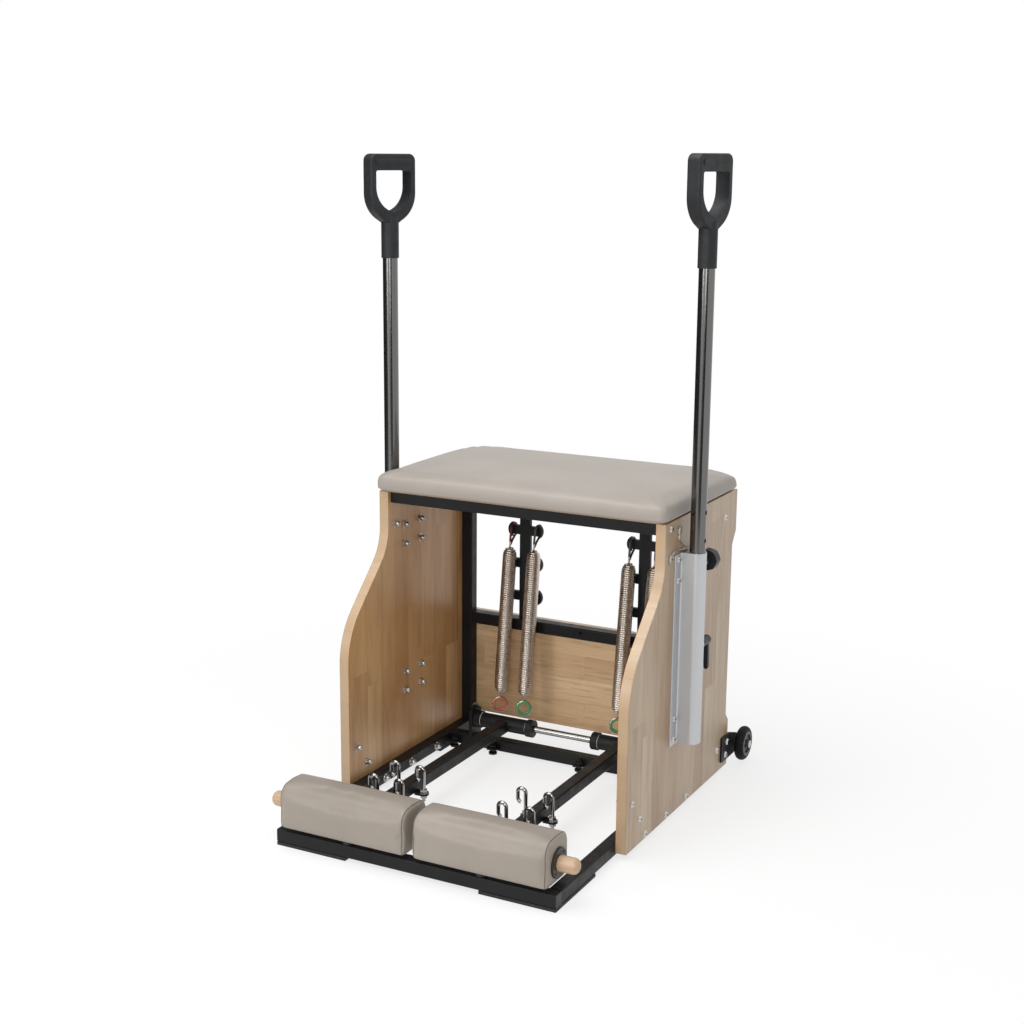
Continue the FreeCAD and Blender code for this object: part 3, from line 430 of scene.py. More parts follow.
def stave_wood(name, light, dark, along, across, stave, length, flecks, lighting=None):
    """Glued staves with end joints, each of its own tone, with grain along the stave; lighting is
    the near and far face of a side panel and the painted light and shade multiplied onto its inner
    face, its plainer edge and its outer face."""
    made = Finish(name, 0.42)
    made.shader.inputs["Coat Weight"].default_value = 0.5
    made.shader.inputs["Coat Roughness"].default_value = 0.32
    parts = made.node("ShaderNodeSeparateXYZ", {"Vector": made.place()}).outputs
    flat = made.node("ShaderNodeCombineXYZ", {"X": parts[along], "Y": parts[across]}).outputs["Vector"]
    tones = made.node(
        "ShaderNodeTexBrick",
        {"Vector": flat, "Color1": (0.0, 0.0, 0.0, 1.0), "Color2": WHITE, "Mortar": (0.1, 0.1, 0.1, 1.0),
         "Scale": 1.0, "Mortar Size": 0.00035, "Mortar Smooth": 0.6, "Bias": 0.0,
         "Brick Width": length, "Row Height": stave},
        offset=0.37, offset_frequency=2, squash=0.72, squash_frequency=3)
    tone = tones.outputs["Color"]
    spot = {"X": parts[along], "Y": parts[across], "Z": tone}
    drift = made.node("ShaderNodeCombineXYZ", spot).outputs["Vector"]

    def grain(scale, detail, rough, twist=0.0):
        """Noise stretched along the stave, different in each stave."""
        where = made.node("ShaderNodeMapping", {"Vector": drift, "Scale": scale}).outputs["Vector"]
        return made.noise(where, 1.0, detail, rough, twist)

    streak = grain(STREAK, 5.0, 0.55, 0.9)
    pores = grain(PORE, 2.0, 0.5)
    patch = grain(CLOUD, 3.0, 0.5, 0.6)
    vein = grain(VEIN, 6.0, 0.6, 2.2)
    dash = grain(DASH, 3.0, 0.55, 0.5)
    blend = made.mix(0.45, tone, made.span(patch, 0.0, 1.0, 0.34, 0.66))
    body = made.mix(blend, (*dark, 1.0), (*light, 1.0))
    body = made.mix(made.span(vein, 0.0, 0.42, 0.53, 0.68), body, (*shade(dark, 0.6), 1.0))
    body = made.mix(made.span(dash, 0.0, flecks, 0.55, 0.68), body, (*shade(dark, 0.62), 1.0))
    grained = made.mix(made.span(streak, 0.0, 0.26, 0.40, 0.75), body, (*shade(dark, 0.72), 1.0))
    pored = made.mix(made.span(pores, 0.18, 0.0, 0.30, 0.45), grained, (*shade(dark, 0.45), 1.0))
    wood = made.mix(made.span(tones.outputs["Fac"], 0.0, 0.5, 0.0, 1.0), pored, (*shade(dark, 0.5), 1.0))
    # Painted light and shade: each face of a side panel is multiplied by its own tint, which stands in for
    # how the light falls on that face.
    if lighting:
        near, far, tints = lighting
        depth = made.node("ShaderNodeMath", {0: parts["X"]}, operation="ABSOLUTE").outputs[0]
        depth = made.span(depth, 0.0, 1.0, near, far)
        edge = made.layers(depth, (BLACK, EDGE_PLAIN, BLACK), EDGE_BAND)
        plain = tuple((a + b) / 2.0 for a, b in zip(light, dark))
        wood = made.mix(edge, wood, (*plain, 1.0))
        wood = made.mix(1.0, wood, made.layers(depth, tints, EDGE_BAND), "MULTIPLY")
    made.colour(wood)
    made.roughness(made.span(streak, 0.36, 0.5))
    made.bump(pores, 0.00012, 0.3)
    return made.material


def turned_wood(name, colour, along):
    """Plain sanded wood with straight grain along one axis."""
    made = Finish(name, 0.5)
    scale = [160.0, 160.0, 160.0]
    scale[along] = 7.0
    streak = made.noise(made.place(tuple(scale)), 1.0, 4.0, 0.6, 0.4)
    made.colour(made.ramp(streak, shade(colour, 0.72), colour, 0.25, 0.62))
    made.bump(streak, 0.0001, 0.25)
    return made.material


def grained_leather(name, colour):
    """Synthetic leather: pebbled grain, soft sheen and a little uneven tone."""
    made = Finish(name, 0.48)
    made.shader.inputs["Sheen Weight"].default_value = 0.08
    made.shader.inputs["Sheen Roughness"].default_value = 0.4
    spot = made.place()
    made.colour(made.ramp(made.noise(spot, 9.0, 4.0), shade(colour, 0.93), shade(colour, 1.05)))
    pebbles = {"Vector": spot, "Scale": 640.0, "Smoothness": 0.4}
    cells = made.node("ShaderNodeTexVoronoi", pebbles, feature="SMOOTH_F1")
    pebble = cells.outputs["Distance"]
    made.roughness(made.span(pebble, 0.56, 0.42, 0.0, 0.7))
    made.bump(pebble, 0.00022, 0.45)
    made.bump(made.noise(spot, 60.0, 3.0), 0.0006, 0.18)
    return made.material


def plated_metal(name, colour, roughness, relief):
    """Bright metal with handling marks that dull it here and there."""
    made = Finish(name, roughness, 1.0)
    spot = made.place()
    made.colour(made.ramp(made.noise(spot, 30.0, 3.0), shade(colour, 0.86), colour))
    made.roughness(made.span(made.noise(spot, 85.0, 4.0, 0.6), roughness * 0.7, roughness * 1.7))
    made.bump(made.noise(spot, 400.0, 2.0), 0.0001, relief)
    return made.material


def drawn_metal(name, colour, roughness, scale):
    """Metal with fine lines left by drawing or brushing, long where scale is small."""
    made = Finish(name, roughness, 1.0)
    lines = made.noise(made.place(scale), 1.0, 3.0, 0.6)
    made.colour(made.ramp(lines, shade(colour, 0.93), shade(colour, 1.03)))
    made.roughness(made.span(lines, roughness * 0.8, roughness * 1.3))
    made.bump(lines, 0.00008, 0.2)
    return made.material


def moulded_plastic(name, colour, roughness, grain, gloss):
    """Plastic with a fine moulded grain and a trace of wear."""
    made = Finish(name, roughness)
    made.shader.inputs["Specular IOR Level"].default_value = gloss
    spot = made.place()
    made.colour(made.ramp(made.noise(spot, 24.0, 4.0), shade(colour, 0.85), shade(colour, 1.25)))
    made.roughness(made.span(made.noise(spot, 60.0, 3.0), roughness * 0.85, roughness * 1.2))
    made.bump(made.noise(spot, grain, 2.0), 0.0002, 0.3)
    return made.material


def stock_plastic(name):
    return moulded_plastic(name, *PLASTICS[name])


def dress(material, *nodes):
    """Gives CAD nodes a finish."""
    for name in nodes:
        mesh = frame["nodes"][name].data
        mesh.materials.clear()
        mesh.materials.append(material)


def ease(width, segments, *nodes):
    """Rounds the sharp edges of CAD nodes with a modifier."""
    for name in nodes:
        made = frame["nodes"][name].modifiers.new("eased", "BEVEL")
        made.width = width
        made.segments = segments
        made.limit_method = "ANGLE"
        made.angle_limit = math.radians(50.0)
        made.harden_normals = True


def piece(name, bm, material, body):
    """Turns a bmesh into a named piece that rides on a body."""
    mesh = bpy.data.meshes.new(name)
    bmesh.ops.recalc_face_normals(bm, faces=bm.faces)
    bm.to_mesh(mesh)
    bm.free()
    mesh.materials.append(material)
    mesh.polygons.foreach_set("use_smooth", [True] * len(mesh.polygons))
    made = bpy.data.objects.new(name, mesh)
    bpy.context.scene.collection.objects.link(made)
    bpy.context.view_layer.update()
    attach(made, body)
    return made


def skin(bm, loops, closed=False, caps=True):
    """Faces between loops of points of the same count."""
    rows = [[bm.verts.new(p) for p in loop] for loop in loops]
    count = len(rows[0])
    pairs = list(zip(rows, rows[1:]))
    if closed:
        pairs.append((rows[-1], rows[0]))
    for a, b in pairs:
        for i in range(count):
            j = (i + 1) % count
            bm.faces.new((a[i], a[j], b[j], b[i]))
    if caps and not closed:
        bm.faces.new(rows[0][::-1])
        bm.faces.new(rows[-1])


def wire(bm, points, radius, sides, closed=False):
    """Round tube along points, turned as little as possible from one point to the next."""
    loops = []
    count = len(points)
    up = None
    for i, point in enumerate(points):
        before = points[i - 1] if i or closed else points[0]
        after = points[(i + 1) % count] if i + 1 < count or closed else points[-1]
        way = (after - before).normalized()
        if up is None:
            up = way.orthogonal()
        up = (up - way * up.dot(way)).normalized()
        side = way.cross(up)
        turn = [TURN * k / sides for k in range(sides)]
        loops.append([point + (up * math.cos(t) + side * math.sin(t)) * radius for t in turn])
    skin(bm, loops, closed)


def spun(bm, profile, centre, axis, sides):
    """Closed ring turned from a profile of (radius, distance along axis) points."""
    up = axis.orthogonal().normalized()
    side = axis.cross(up)
    loops = []
    for k in range(sides):
        t = TURN * k / sides
        out = up * math.cos(t) + side * math.sin(t)
        loops.append([centre + out * r + axis * d for r, d in profile])
    skin(bm, loops, closed=True)


def rounded(corners, step, bend):
    """Closed outline round (u, v, radius) corners, with bend cuts in a corner and step cuts between."""
    count = len(corners)
    ends = []
    for i in range(count):
        p = Vector(corners[i][:2])
        back = (Vector(corners[i - 1][:2]) - p).normalized()
        ahead = (Vector(corners[(i + 1) % count][:2]) - p).normalized()
        half = back.angle(ahead) / 2.0
        reach = corners[i][2] / math.tan(half)
        centre = p + (back + ahead).normalized() * (corners[i][2] / math.sin(half))
        ends.append((p + back * reach, centre, p + ahead * reach))
    points = []
    for i in range(count):
        start, centre, stop = ends[i]
        a, b = start - centre, stop - centre
        start_angle = math.atan2(a.y, a.x)
        sweep = math.remainder(math.atan2(b.y, b.x) - start_angle, TURN)
        for k in range(bend + 1):
            turn = start_angle + sweep * k / bend
            points.append(centre + Vector((math.cos(turn), math.sin(turn))) * a.length)
        following = ends[(i + 1) % count][0]
        for k in range(1, step):
            points.append(stop.lerp(following, k / step))
    return points


def inflate(made, voxel, swell, hold):
    """Swells a closed cushion by cloth pressure; hold(point at rest) says which points stay."""
    scene = bpy.context.scene
    grid = made.modifiers.new("grid", "REMESH")
    grid.mode = "VOXEL"
    grid.voxel_size = voxel
    grid.use_smooth_shade = True
    flat = bpy.data.meshes.new_from_object(made.evaluated_get(bpy.context.evaluated_depsgraph_get()))
    made.modifiers.remove(grid)
    made.data = flat
    rest = [v.co.copy() for v in flat.vertices]
    pins = made.vertex_groups.new(name="held")
    pins.add([i for i, p in enumerate(rest) if hold(p)], 1.0, "REPLACE")
    cloth = made.modifiers.new("fill", "CLOTH")
    cloth.settings.vertex_group_mass = "held"
    cloth.settings.use_pressure = True
    cloth.settings.uniform_pressure_force = CLOTH_PRESSURE
    cloth.settings.effector_weights.gravity = 0.0
    cloth.settings.quality = 4
    cloth.point_cache.frame_start = 1
    cloth.point_cache.frame_end = CLOTH_FRAMES
    for number in range(1, CLOTH_FRAMES + 1):
        scene.frame_set(number)
    shaped = made.evaluated_get(bpy.context.evaluated_depsgraph_get())
    swollen = [v.co.copy() for v in shaped.data.vertices]
    made.modifiers.remove(cloth)
    made.vertex_groups.remove(pins)
    scene.frame_set(1)
    for vertex, a, b in zip(made.data.vertices, rest, swollen):
        move = b - a
        if move.length > swell:
            move = move * (swell / move.length)
        vertex.co = a + move
    made.data.update()


def keep_inside(made, lo, hi):
    """Presses points back into a box, as the neighbours of a cushion do."""
    for vertex in made.data.vertices:
        vertex.co = Vector(min(max(c, a), b) for c, a, b in zip(vertex.co, lo, hi))
    made.data.update()


def refine(made):
    smooth = made.modifiers.new("even", "SMOOTH")
    smooth.factor = 0.5
    smooth.iterations = 2
    finer = made.modifiers.new("finer", "SUBSURF")
    finer.levels = 1
    finer.render_levels = 1


def settings():
    scene = bpy.context.scene
    return scene.chair_finishes, scene.chair_sizes


class CHAIR_OT_frame_steel(bpy.types.Operator):
    """Powder-coated tubes, arms, spring trees and brackets, with their feet and stops"""

    bl_idname = "chair.frame_steel"
    bl_label = "Frame steel"

    def execute(self, context):
        finishes = settings()[0]
        dress(powder_coat("frame_powder_coat", tuple(finishes.steel)), *STEEL)
        ease(PLATE_EASE, 2, "spring_tree_left", "spring_tree_right", "wheel_brackets", "shaft_brackets",
             "levelling_studs")
        dress(stock_plastic("foot_rubber"), "foot_pads", "pedal_stops")
        ease(FOOT_EASE, 2, "foot_pads")
        dress(stock_plastic("plug_plastic"), "rail_plugs")
        dress(stock_plastic("bush_plastic"), "pedal_bushes_left", "pedal_bushes_right")
        return {"FINISHED"}


class CHAIR_OT_panels(bpy.types.Operator):
    """Wooden side panels and back panel of glued staves, and the boards inside the cushions"""

    bl_idname = "chair.panels"
    bl_label = "Wooden panels"

    def execute(self, context):
        finishes, sizes = settings()
        light, dark = tuple(finishes.wood_light), tuple(finishes.wood_dark)
        lo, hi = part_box("side_panel_right")
        # Painted light and shade of the side panels' inner faces, edges and outer faces.
        tints = (tuple(finishes.inner_shading), tuple(finishes.edge_shading), tuple(finishes.outer_shading))
        upright = stave_wood("side_staves", light, dark, "Z", "Y", sizes.stave, sizes.stave_length,
                             SIDE_FLECKS, (lo.x, hi.x, tints))
        dress(upright, "side_panel_left", "side_panel_right")
        # Painted light: the back panel's stave colours are brightened against the shade under the seat.
        light, dark = tuple(finishes.brightened_back_pale), tuple(finishes.brightened_back_dark)
        level = stave_wood("back_staves", light, dark, "X", "Z", sizes.stave, sizes.stave_length,
                           BACK_FLECKS)
        dress(level, "back_panel")
        ease(sizes.panel_edge, 3, "side_panel_left", "side_panel_right", "back_panel")
        board = turned_wood("seat_plywood", PLYWOOD, 0)
        dress(board, "seat_board", "pedal_core_left", "pedal_core_right")
        return {"FINISHED"}


class CHAIR_OT_seat(bpy.types.Operator):
    """Upholstered seat with a rolled edge and a low crown"""

    bl_idname = "chair.seat"
    bl_label = "Seat cushion"

    def execute(self, context):
        finishes, sizes = settings()
        lo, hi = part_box("seat_cushion")
        tall = hi.z - lo.z
        loops = []
        for inset, rise, rear in SEAT_PROFILE:
            x = hi.x - inset
            front, back = lo.y + inset, hi.y - inset
            corners = ((x, front, SEAT_FRONT_R), (x, back, rear), (-x, back, rear), (-x, front, SEAT_FRONT_R))
            height = lo.z + rise * tall / SEAT_DRAWN
            loops.append([Vector((p.x, p.y, height)) for p in rounded(corners, step=18, bend=10)])
        bm = bmesh.new()
        skin(bm, loops)
        leather = grained_leather("seat_leather", tuple(finishes.leather))
        seat = piece("seat_upholstery", bm, leather, "frame")
        inflate(seat, sizes.voxel, sizes.swell * 0.6, lambda p: p.z < lo.z + HELD)
        keep_inside(seat, lo - Vector((0.002, 0.002, 0.0)), hi + Vector((0.002, 0.002, 0.004)))
        refine(seat)
        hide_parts("seat_cushion")
        return {"FINISHED"}


class CHAIR_OT_pedal_pads(bpy.types.Operator):
    """Upholstered pedal pads with sewn end caps, their dowels and flanges"""

    bl_idname = "chair.pedal_pads"
    bl_label = "Pedal pads"

    def outline(self, lo, hi, inset):
        front, back = lo.y + inset, hi.y - inset
        low, high = lo.z + inset, hi.z - PAD_CROWN - inset
        corners = ((front, low, PAD_LOW_R), (back, low, PAD_LOW_R), (back, high, PAD_BACK_R),
                   ((front + back) / 2, high + PAD_CROWN, PAD_CROWN_R), (front, high, PAD_FRONT_R))
        return rounded(corners, step=8, bend=8)

    def seam(self, pad, lo, hi, x):
        """Points of a seam laid on the swollen pad at x."""
        shaped = BVHTree.FromObject(pad, bpy.context.evaluated_depsgraph_get())
        middle = Vector((x, (lo.y + hi.y) / 2, (lo.z + hi.z) / 2))
        points = []
        for p in self.outline(lo, hi, -SEAM_REACH):
            start = Vector((x, p.x, p.y))
            spot = shaped.ray_cast(start, (middle - start).normalized())[0]
            if spot is None:
                raise RuntimeError("the seam misses its pad")
            points.append(spot)
        return points

    def execute(self, context):
        finishes, sizes = settings()
        leather = grained_leather("pad_leather", tuple(finishes.pad_leather))
        thread = stock_plastic("seam_thread")
        run, flat = PAD_ENDS[-1]
        for side in SIDES:
            node = "pedal_pad_" + side
            lo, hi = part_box(node)
            stops = [(lo.x + d, inset) for d, inset in PAD_ENDS]
            span = hi.x - lo.x - 2.0 * run
            stops += [(lo.x + run + span * k / PAD_CUTS, flat) for k in range(1, PAD_CUTS)]
            stops += [(hi.x - d, inset) for d, inset in reversed(PAD_ENDS)]
            loops = [[Vector((x, p.x, p.y)) for p in self.outline(lo, hi, inset)] for x, inset in stops]
            bm = bmesh.new()
            skin(bm, loops)
            body = "pedal_" + side
            pad = piece("pedal_upholstery_" + side, bm, leather, body)
            inflate(pad, sizes.voxel * 0.8, sizes.swell * 0.5,
                    lambda p: p.z < lo.z + HELD or p.y > hi.y - HELD)
            keep_inside(pad, lo - Vector((0.0, 0.002, 0.0)), hi + Vector((0.0, 0.0, 0.003)))
            refine(pad)
            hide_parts(node)
            for name, x in (("inner", lo.x + sizes.seam_inset), ("outer", hi.x - sizes.seam_inset)):
                bm = bmesh.new()
                wire(bm, self.seam(pad, lo, hi, x), sizes.seam, sides=6, closed=True)
                piece("pad_seam_%s_%s" % (name, side), bm, thread, body)
        dress(turned_wood("dowel_wood", tuple(finishes.dowel), 0), "pedal_dowel_left", "pedal_dowel_right")
        dress(stock_plastic("flange_plastic"), "dowel_flange_left", "dowel_flange_right")
        return {"FINISHED"}


class CHAIR_OT_springs(bpy.types.Operator):
    """Close-wound springs with their hanging loops and coloured rings"""

    bl_idname = "chair.springs"
    bl_label = "Springs"

    def paths(self, loop, ring, sizes):
        """Centre lines of the hanging loop, the coil and the stem that holds the ring."""
        lean = Matrix.Rotation(-sizes.coil_lean, 3, "X")
        foot = lean.inverted() @ (ring - loop)
        axis = foot.y
        wide = COIL_R - sizes.coil_rib
        points = [Vector((0.0, axis - EYE_ASIDE, EYE_FOOT + EYE_RISE * k)) for k in range(6)]
        for k in range(EYE_CUTS + 1):
            a = math.radians(EYE_START + EYE_SWEEP * k / EYE_CUTS)
            points.append(Vector((0.0, -EYE_R * math.sin(a), -EYE_R * math.cos(a))))
        start, away = points[-1], (points[-1] - points[-2]).normalized()
        top = Vector((0.0, axis, EYE_BACK))
        above = top + Vector((0.0, 0.0, EYE_DROP))
        for k in range(1, EYE_BLEND + 1):
            t = k / EYE_BLEND
            a, b = start.lerp(start + away * EYE_LEAD, t), above.lerp(top, t)
            points.append(a.lerp(b, t * t * (3.0 - 2.0 * t)))
        first, last = COIL_TOP, foot.z + COIL_FOOT
        turns = (first - last) / sizes.coil_pitch
        cuts = int(turns * COIL_CUTS)
        coil = []
        for k in range(cuts + 1):
            z = first + (last - first) * k / cuts
            near = min(min(first - z, z - last) / COIL_DOME, 1.0)
            r = COIL_NECK + (wide - COIL_NECK) * math.sqrt(1.0 - (1.0 - near) ** 2)
            a = TURN * turns * k / cuts
            coil.append(Vector((r * math.cos(a), axis + r * math.sin(a), z)))
        stem = [Vector((0.0, axis, last - STEM_STEP * k)) for k in range(5)]
        return [[loop + lean @ p for p in part] for part in (points, coil, stem)], lean

    def execute(self, context):
        finishes, sizes = settings()
        steel = plated_metal("spring_wire", tuple(finishes.spring), 0.27, 0.0)
        bright = plated_metal("ring_wire", *METALS["ring_wire"])
        tints = {"outer": moulded_plastic("red_ring", tuple(finishes.heavy), 0.3, 800.0, 0.5),
                 "inner": moulded_plastic("green_ring", tuple(finishes.light), 0.3, 800.0, 0.5)}
        tubes = {"outer": stock_plastic("red_tube"), "inner": stock_plastic("green_tube")}
        pivots = {j["child"]: Vector(j["pos_m"]) for j in frame["joints"] if j["name"].endswith("_swing")}
        for name in SPRINGS:
            body = "spring_" + name
            lo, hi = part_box("spring_ring_" + name)
            ring = (lo + hi) / 2
            parts, lean = self.paths(pivots[body], ring, sizes)
            bm = bmesh.new()
            for part, radius in zip(parts, (sizes.coil_wire, sizes.coil_rib, sizes.coil_wire)):
                wire(bm, part, radius, sides=12)
            coil = piece("spring_coil_" + name, bm, steel, body)
            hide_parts("spring_" + name)
            turned = Vector((math.sin(sizes.ring_turn), -math.cos(sizes.ring_turn), 0.0))
            axis = (lean @ turned).normalized()
            side = (lean @ Vector((0.0, 0.0, 1.0))).normalized()
            across = axis.cross(side)
            bm = bmesh.new()
            loop = []
            for k in range(RING_CUTS):
                t = TURN * k / RING_CUTS
                loop.append(ring + (side * math.cos(t) + across * math.sin(t)) * RING_R)
            wire(bm, loop, RING_WIRE, sides=10, closed=True)
            piece("ring_loop_" + name, bm, bright, body)
            kind = name.split("_")[1]
            bm = bmesh.new()
            wire(bm, parts[0][SLEEVED], sizes.coil_wire * SLEEVE_SHARE, sides=10)
            piece("loop_sleeve_" + name, bm, tubes[kind], body)
            bm = bmesh.new()
            spun(bm, RING_RIM, ring, axis, RIM_CUTS)
            bush = piece("ring_bush_" + name, bm, tints[kind], body)
            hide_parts("spring_ring_" + name)
        return {"FINISHED"}


class CHAIR_OT_poles(bpy.types.Operator):
    """Handle poles, D handles, aluminium sleeves, knobs and clamp levers"""

    bl_idname = "chair.poles"
    bl_label = "Poles and handles"

    def execute(self, context):
        finishes = settings()[0]
        pole = drawn_metal("pole_metal", tuple(finishes.pole), 0.17, (40.0, 40.0, 3.0))
        dress(pole, "pole_left", "pole_right")
        plastic = moulded_plastic("handle_plastic", tuple(finishes.grip), 0.52, 1300.0, 0.3)
        dress(plastic, "handle_left", "handle_right")
        drawn = drawn_metal("sleeve_aluminium", ALUMINIUM, 0.46, (900.0, 900.0, 14.0))
        dress(drawn, "sleeve_left", "sleeve_right")
        ease(SLEEVE_EASE, 2, "sleeve_left", "sleeve_right")
        knobs = [kind + side for kind in ("star_knob_", "clamp_lever_") for side in SIDES]
        dress(stock_plastic("knob_plastic"), *knobs)
        ease(KNOB_EASE, 3, *knobs)
        return {"FINISHED"}


class CHAIR_OT_fittings(bpy.types.Operator):
    """Bright bolts, hooks, shaft and axles, and the transport wheels"""

    bl_idname = "chair.fittings"
    bl_label = "Fittings and wheels"

    def clip(self, sizes):
        """Centre line of the bent wire that hooks round two bolts on the right panel's outer face."""
        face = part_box("side_panel_right")[1].x + sizes.clip_wire * 2.0
        turn = [math.radians(CLIP_UPPER_START + CLIP_STEP * k) for k in range(10)]
        spots = [Vector(CLIP_UPPER) + Vector((math.cos(a), math.sin(a))) * CLIP_R for a in turn]
        spots += [Vector(p) for p in CLIP_BENDS]
        turn = [math.radians(CLIP_LOWER_START + CLIP_STEP * k) for k in range(9)]
        spots += [Vector(CLIP_LOWER) + Vector((math.cos(a), math.sin(a))) * CLIP_R for a in turn]
        points = []
        ends = [spots[0]] + spots + [spots[-1]]
        for a, b, c, d in zip(ends, ends[1:], ends[2:], ends[3:]):
            for k in range(CLIP_CUTS):
                t = k / CLIP_CUTS
                p = b + (c - a) * (0.5 * t) + (a * 2.0 - b * 5.0 + c * 4.0 - d) * (0.5 * t * t)
                points.append(p + (b * 3.0 - a - c * 3.0 + d) * (0.5 * t ** 3))
        return [Vector((face, p.x, p.y)) for p in points]

    def execute(self, context):
        bright = plated_metal("bright_plate", *METALS["bright_plate"])
        dress(bright, *BRIGHT)
        dress(plated_metal("polished_steel", *METALS["polished_steel"]), *POLISHED)
        sizes = settings()[1]
        bm = bmesh.new()
        wire(bm, self.clip(sizes), sizes.clip_wire, sides=8)
        piece("wire_clip", bm, bright, "frame")
        tyre = stock_plastic("wheel_rubber")
        hub = stock_plastic("wheel_plastic")
        for side in SIDES:
            dress(tyre, "wheel_tyre_" + side)
            dress(hub, "wheel_hub_" + side)
        ease(PLATE_EASE, 2, "wheel_hub_left", "wheel_hub_right")
        return {"FINISHED"}


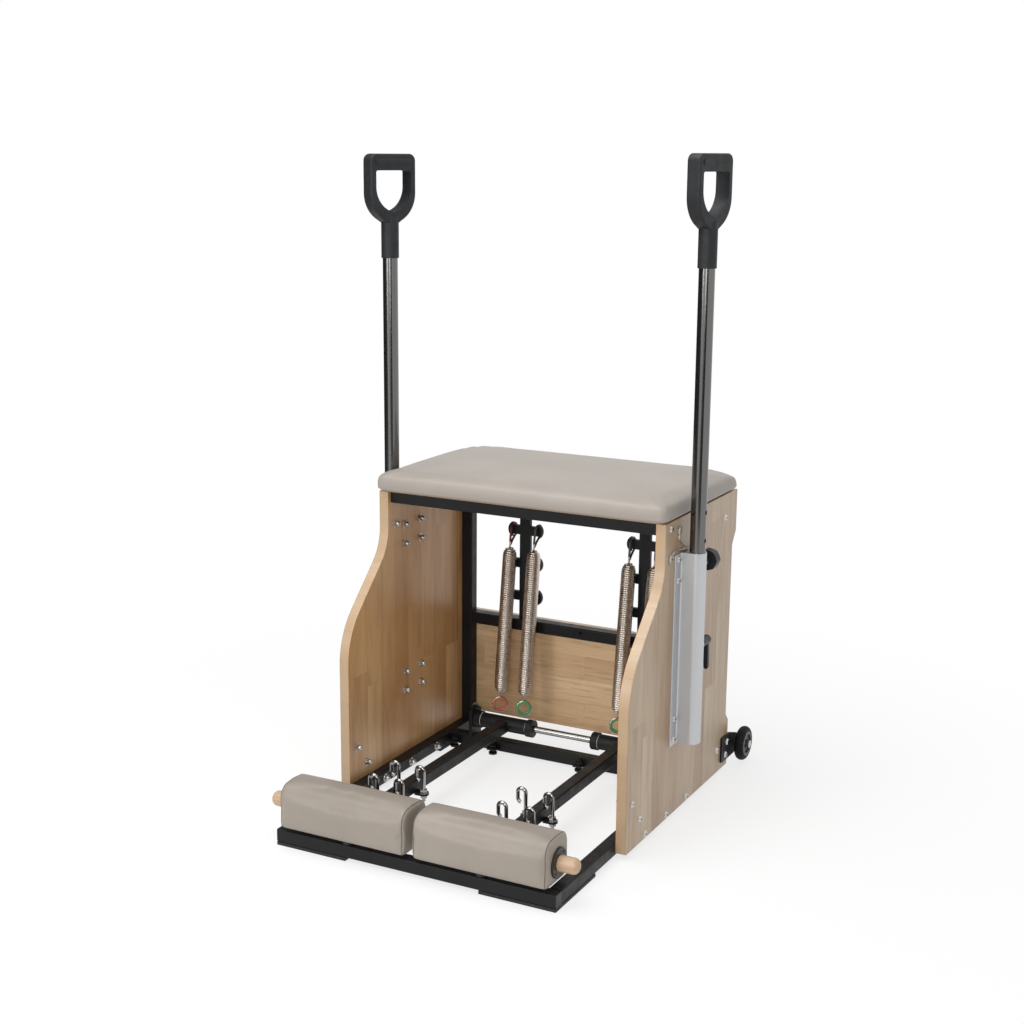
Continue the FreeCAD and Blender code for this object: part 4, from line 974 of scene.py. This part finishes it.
class CHAIR_OT_studio(bpy.types.Operator):
    """Pale floor, soft light and the camera"""

    bl_idname = "chair.studio"
    bl_label = "Studio"

    def either(self, tree, a, b):
        return shader_node(tree, "ShaderNodeMath", {0: a, 1: b}, operation="MAXIMUM").outputs[0]

    def blend(self, tree, share, a, b):
        return shader_node(tree, "ShaderNodeMixShader", {0: share, 1: a, 2: b}).outputs[0]

    def span(self, tree, value, lows, highs):
        inputs = dict(zip(("Value", "From Min", "From Max", "To Min", "To Max"), (value, *lows, *highs)))
        made = shader_node(tree, "ShaderNodeMapRange", inputs, interpolation_type="SMOOTHSTEP")
        return made.outputs["Result"]

    def seen(self, tree):
        """1 for what the camera sees, straight, in metal or through a clear piece."""
        path = shader_node(tree, "ShaderNodeLightPath").outputs
        straight = self.either(tree, path["Is Camera Ray"], path["Is Glossy Ray"])
        return self.either(tree, straight, path["Is Transmission Ray"])

    def room(self, scene, studio):
        """White behind the chair and in its reflections, and even light on it."""
        world = bpy.data.worlds.new("studio_room")
        world.use_nodes = True
        scene.world = world
        tree = world.node_tree
        lit = tree.nodes["Background"]
        lit.inputs["Color"].default_value = WHITE
        lit.inputs["Strength"].default_value = studio.sky
        white = shader_node(tree, "ShaderNodeBackground", {"Color": WHITE, "Strength": 1.0})
        shown = self.blend(tree, self.seen(tree), lit.outputs[0], white.outputs[0])
        tree.links.new(shown, tree.nodes["World Output"].inputs["Surface"])

    def card(self, name, spot, aim, width, height):
        """Dark studio card that stands beside the view and shows in polished metal alone."""
        bm = bmesh.new()
        corners = ((-width, -height), (width, -height), (width, height), (-width, height))
        bm.faces.new([bm.verts.new((x / 2, y / 2, 0.0)) for x, y in corners])
        mesh = bpy.data.meshes.new(name)
        bm.to_mesh(mesh)
        bm.free()
        material = bpy.data.materials.new(name)
        material.use_nodes = True
        shader = material.node_tree.nodes["Principled BSDF"]
        shader.inputs["Base Color"].default_value = CARD_GREY
        shader.inputs["Roughness"].default_value = 0.9
        mesh.materials.append(material)
        made = bpy.data.objects.new(name, mesh)
        bpy.context.scene.collection.objects.link(made)
        made.location = spot
        made.rotation_mode = "QUATERNION"
        made.rotation_quaternion = (Vector(aim) - Vector(spot)).to_track_quat("Z", "Y")
        made.visible_camera = False
        made.visible_diffuse = False
        made.visible_transmission = False
        made.visible_shadow = False

    def floor(self, studio):
        """Pale round floor that keeps the chair's shadow and fades to white away from it."""
        bm = bmesh.new()
        bmesh.ops.create_circle(bm, cap_ends=True, segments=96, radius=studio.floor)
        bmesh.ops.translate(bm, verts=bm.verts, vec=(0.0, 0.0, -FLOOR_DROP))
        mesh = bpy.data.meshes.new("studio_floor")
        bm.to_mesh(mesh)
        bm.free()
        material = bpy.data.materials.new("pale_floor")
        material.use_nodes = True
        tree = material.node_tree
        shader = tree.nodes["Principled BSDF"]
        shader.inputs["Base Color"].default_value = FLOOR_GREY
        shader.inputs["Roughness"].default_value = 0.9
        shader.inputs["Specular IOR Level"].default_value = 0.0
        glow = shader_node(tree, "ShaderNodeEmission", {"Strength": 1.0})
        spot = shader_node(tree, "ShaderNodeTexCoord").outputs["Object"]
        reach = shader_node(tree, "ShaderNodeVectorMath", {0: spot}, operation="LENGTH")
        edges = (SHADOW_NEAR, studio.floor * SHADOW_FAR)
        share = self.span(tree, reach.outputs["Value"], edges, (1.0 - studio.fade / 100.0, 1.0))
        pale = shader_node(tree, "ShaderNodeMath", {0: self.seen(tree), 1: share}, operation="MULTIPLY")
        shown = self.blend(tree, pale.outputs[0], shader.outputs[0], glow.outputs[0])
        tree.links.new(shown, tree.nodes["Material Output"].inputs["Surface"])
        mesh.materials.append(material)
        made = bpy.data.objects.new("studio_floor", mesh)
        bpy.context.scene.collection.objects.link(made)

    def lamp(self, name, power, size, spot, aim):
        data = bpy.data.lights.new(name, "AREA")
        data.energy = power
        data.shape = "DISK"
        data.size = size
        made = bpy.data.objects.new(name, data)
        bpy.context.scene.collection.objects.link(made)
        made.location = spot
        made.rotation_mode = "QUATERNION"
        made.rotation_quaternion = (Vector(aim) - Vector(spot)).to_track_quat("-Z", "Y")

    def camera(self, studio):
        yaw, pitch, roll = studio.yaw, studio.pitch, studio.roll
        ahead = Vector((-math.sin(yaw) * math.cos(pitch), math.cos(yaw) * math.cos(pitch), -math.sin(pitch)))
        right = Vector((math.cos(yaw), math.sin(yaw), 0.0))
        up = right.cross(ahead)
        level = right * math.cos(roll) + up * math.sin(roll)
        raised = up * math.cos(roll) - right * math.sin(roll)
        data = bpy.data.cameras.new("studio_camera")
        data.lens = studio.lens
        data.sensor_width = 36.0
        made = bpy.data.objects.new("studio_camera", data)
        bpy.context.scene.collection.objects.link(made)
        turn = Matrix((level, raised, -ahead)).transposed()
        made.matrix_world = Matrix.Translation(Vector(studio.eye)) @ turn.to_4x4()
        bpy.context.scene.camera = made

    def execute(self, context):
        scene = context.scene
        studio = scene.chair_studio
        scene.view_settings.view_transform = "Standard"
        self.room(scene, studio)
        self.floor(studio)
        for name, power, size, spot, aim in LAMPS:
            self.lamp(name, getattr(studio, power), size, spot, aim)
        for card in CARDS:
            self.card(*card)
        self.camera(studio)
        return {"FINISHED"}


class CHAIR_PT_panel(bpy.types.Panel):
    """Lists the steps that dress the chair"""

    bl_idname = "CHAIR_PT_panel"
    bl_label = "Pilates chair"
    bl_space_type = "VIEW_3D"
    bl_region_type = "UI"
    bl_category = "Chair"

    def draw(self, context):
        for group in (context.scene.chair_finishes, context.scene.chair_sizes, context.scene.chair_studio):
            column = self.layout.column()
            for key in group.__annotations__:
                column.prop(group, key)
        for step in STEPS:
            self.layout.operator(step.bl_idname)


GROUPS = (("chair_finishes", ChairFinishes), ("chair_sizes", ChairSizes), ("chair_studio", ChairStudio))
STEPS = (CHAIR_OT_frame_steel, CHAIR_OT_panels, CHAIR_OT_seat, CHAIR_OT_pedal_pads, CHAIR_OT_springs,
         CHAIR_OT_poles, CHAIR_OT_fittings, CHAIR_OT_studio)


def register():
    for name, group in GROUPS:
        bpy.utils.register_class(group)
        setattr(bpy.types.Scene, name, PointerProperty(type=group))
    for step in STEPS:
        bpy.utils.register_class(step)
    bpy.utils.register_class(CHAIR_PT_panel)


def unregister():
    bpy.utils.unregister_class(CHAIR_PT_panel)
    for step in reversed(STEPS):
        bpy.utils.unregister_class(step)
    for name, group in reversed(GROUPS):
        delattr(bpy.types.Scene, name)
        bpy.utils.unregister_class(group)


def main():
    register()
    bpy.ops.chair.frame_steel()
    bpy.ops.chair.panels()
    bpy.ops.chair.seat()
    bpy.ops.chair.pedal_pads()
    bpy.ops.chair.springs()
    bpy.ops.chair.poles()
    bpy.ops.chair.fittings()
    bpy.ops.chair.studio()


if __name__ == "__main__":
    main()
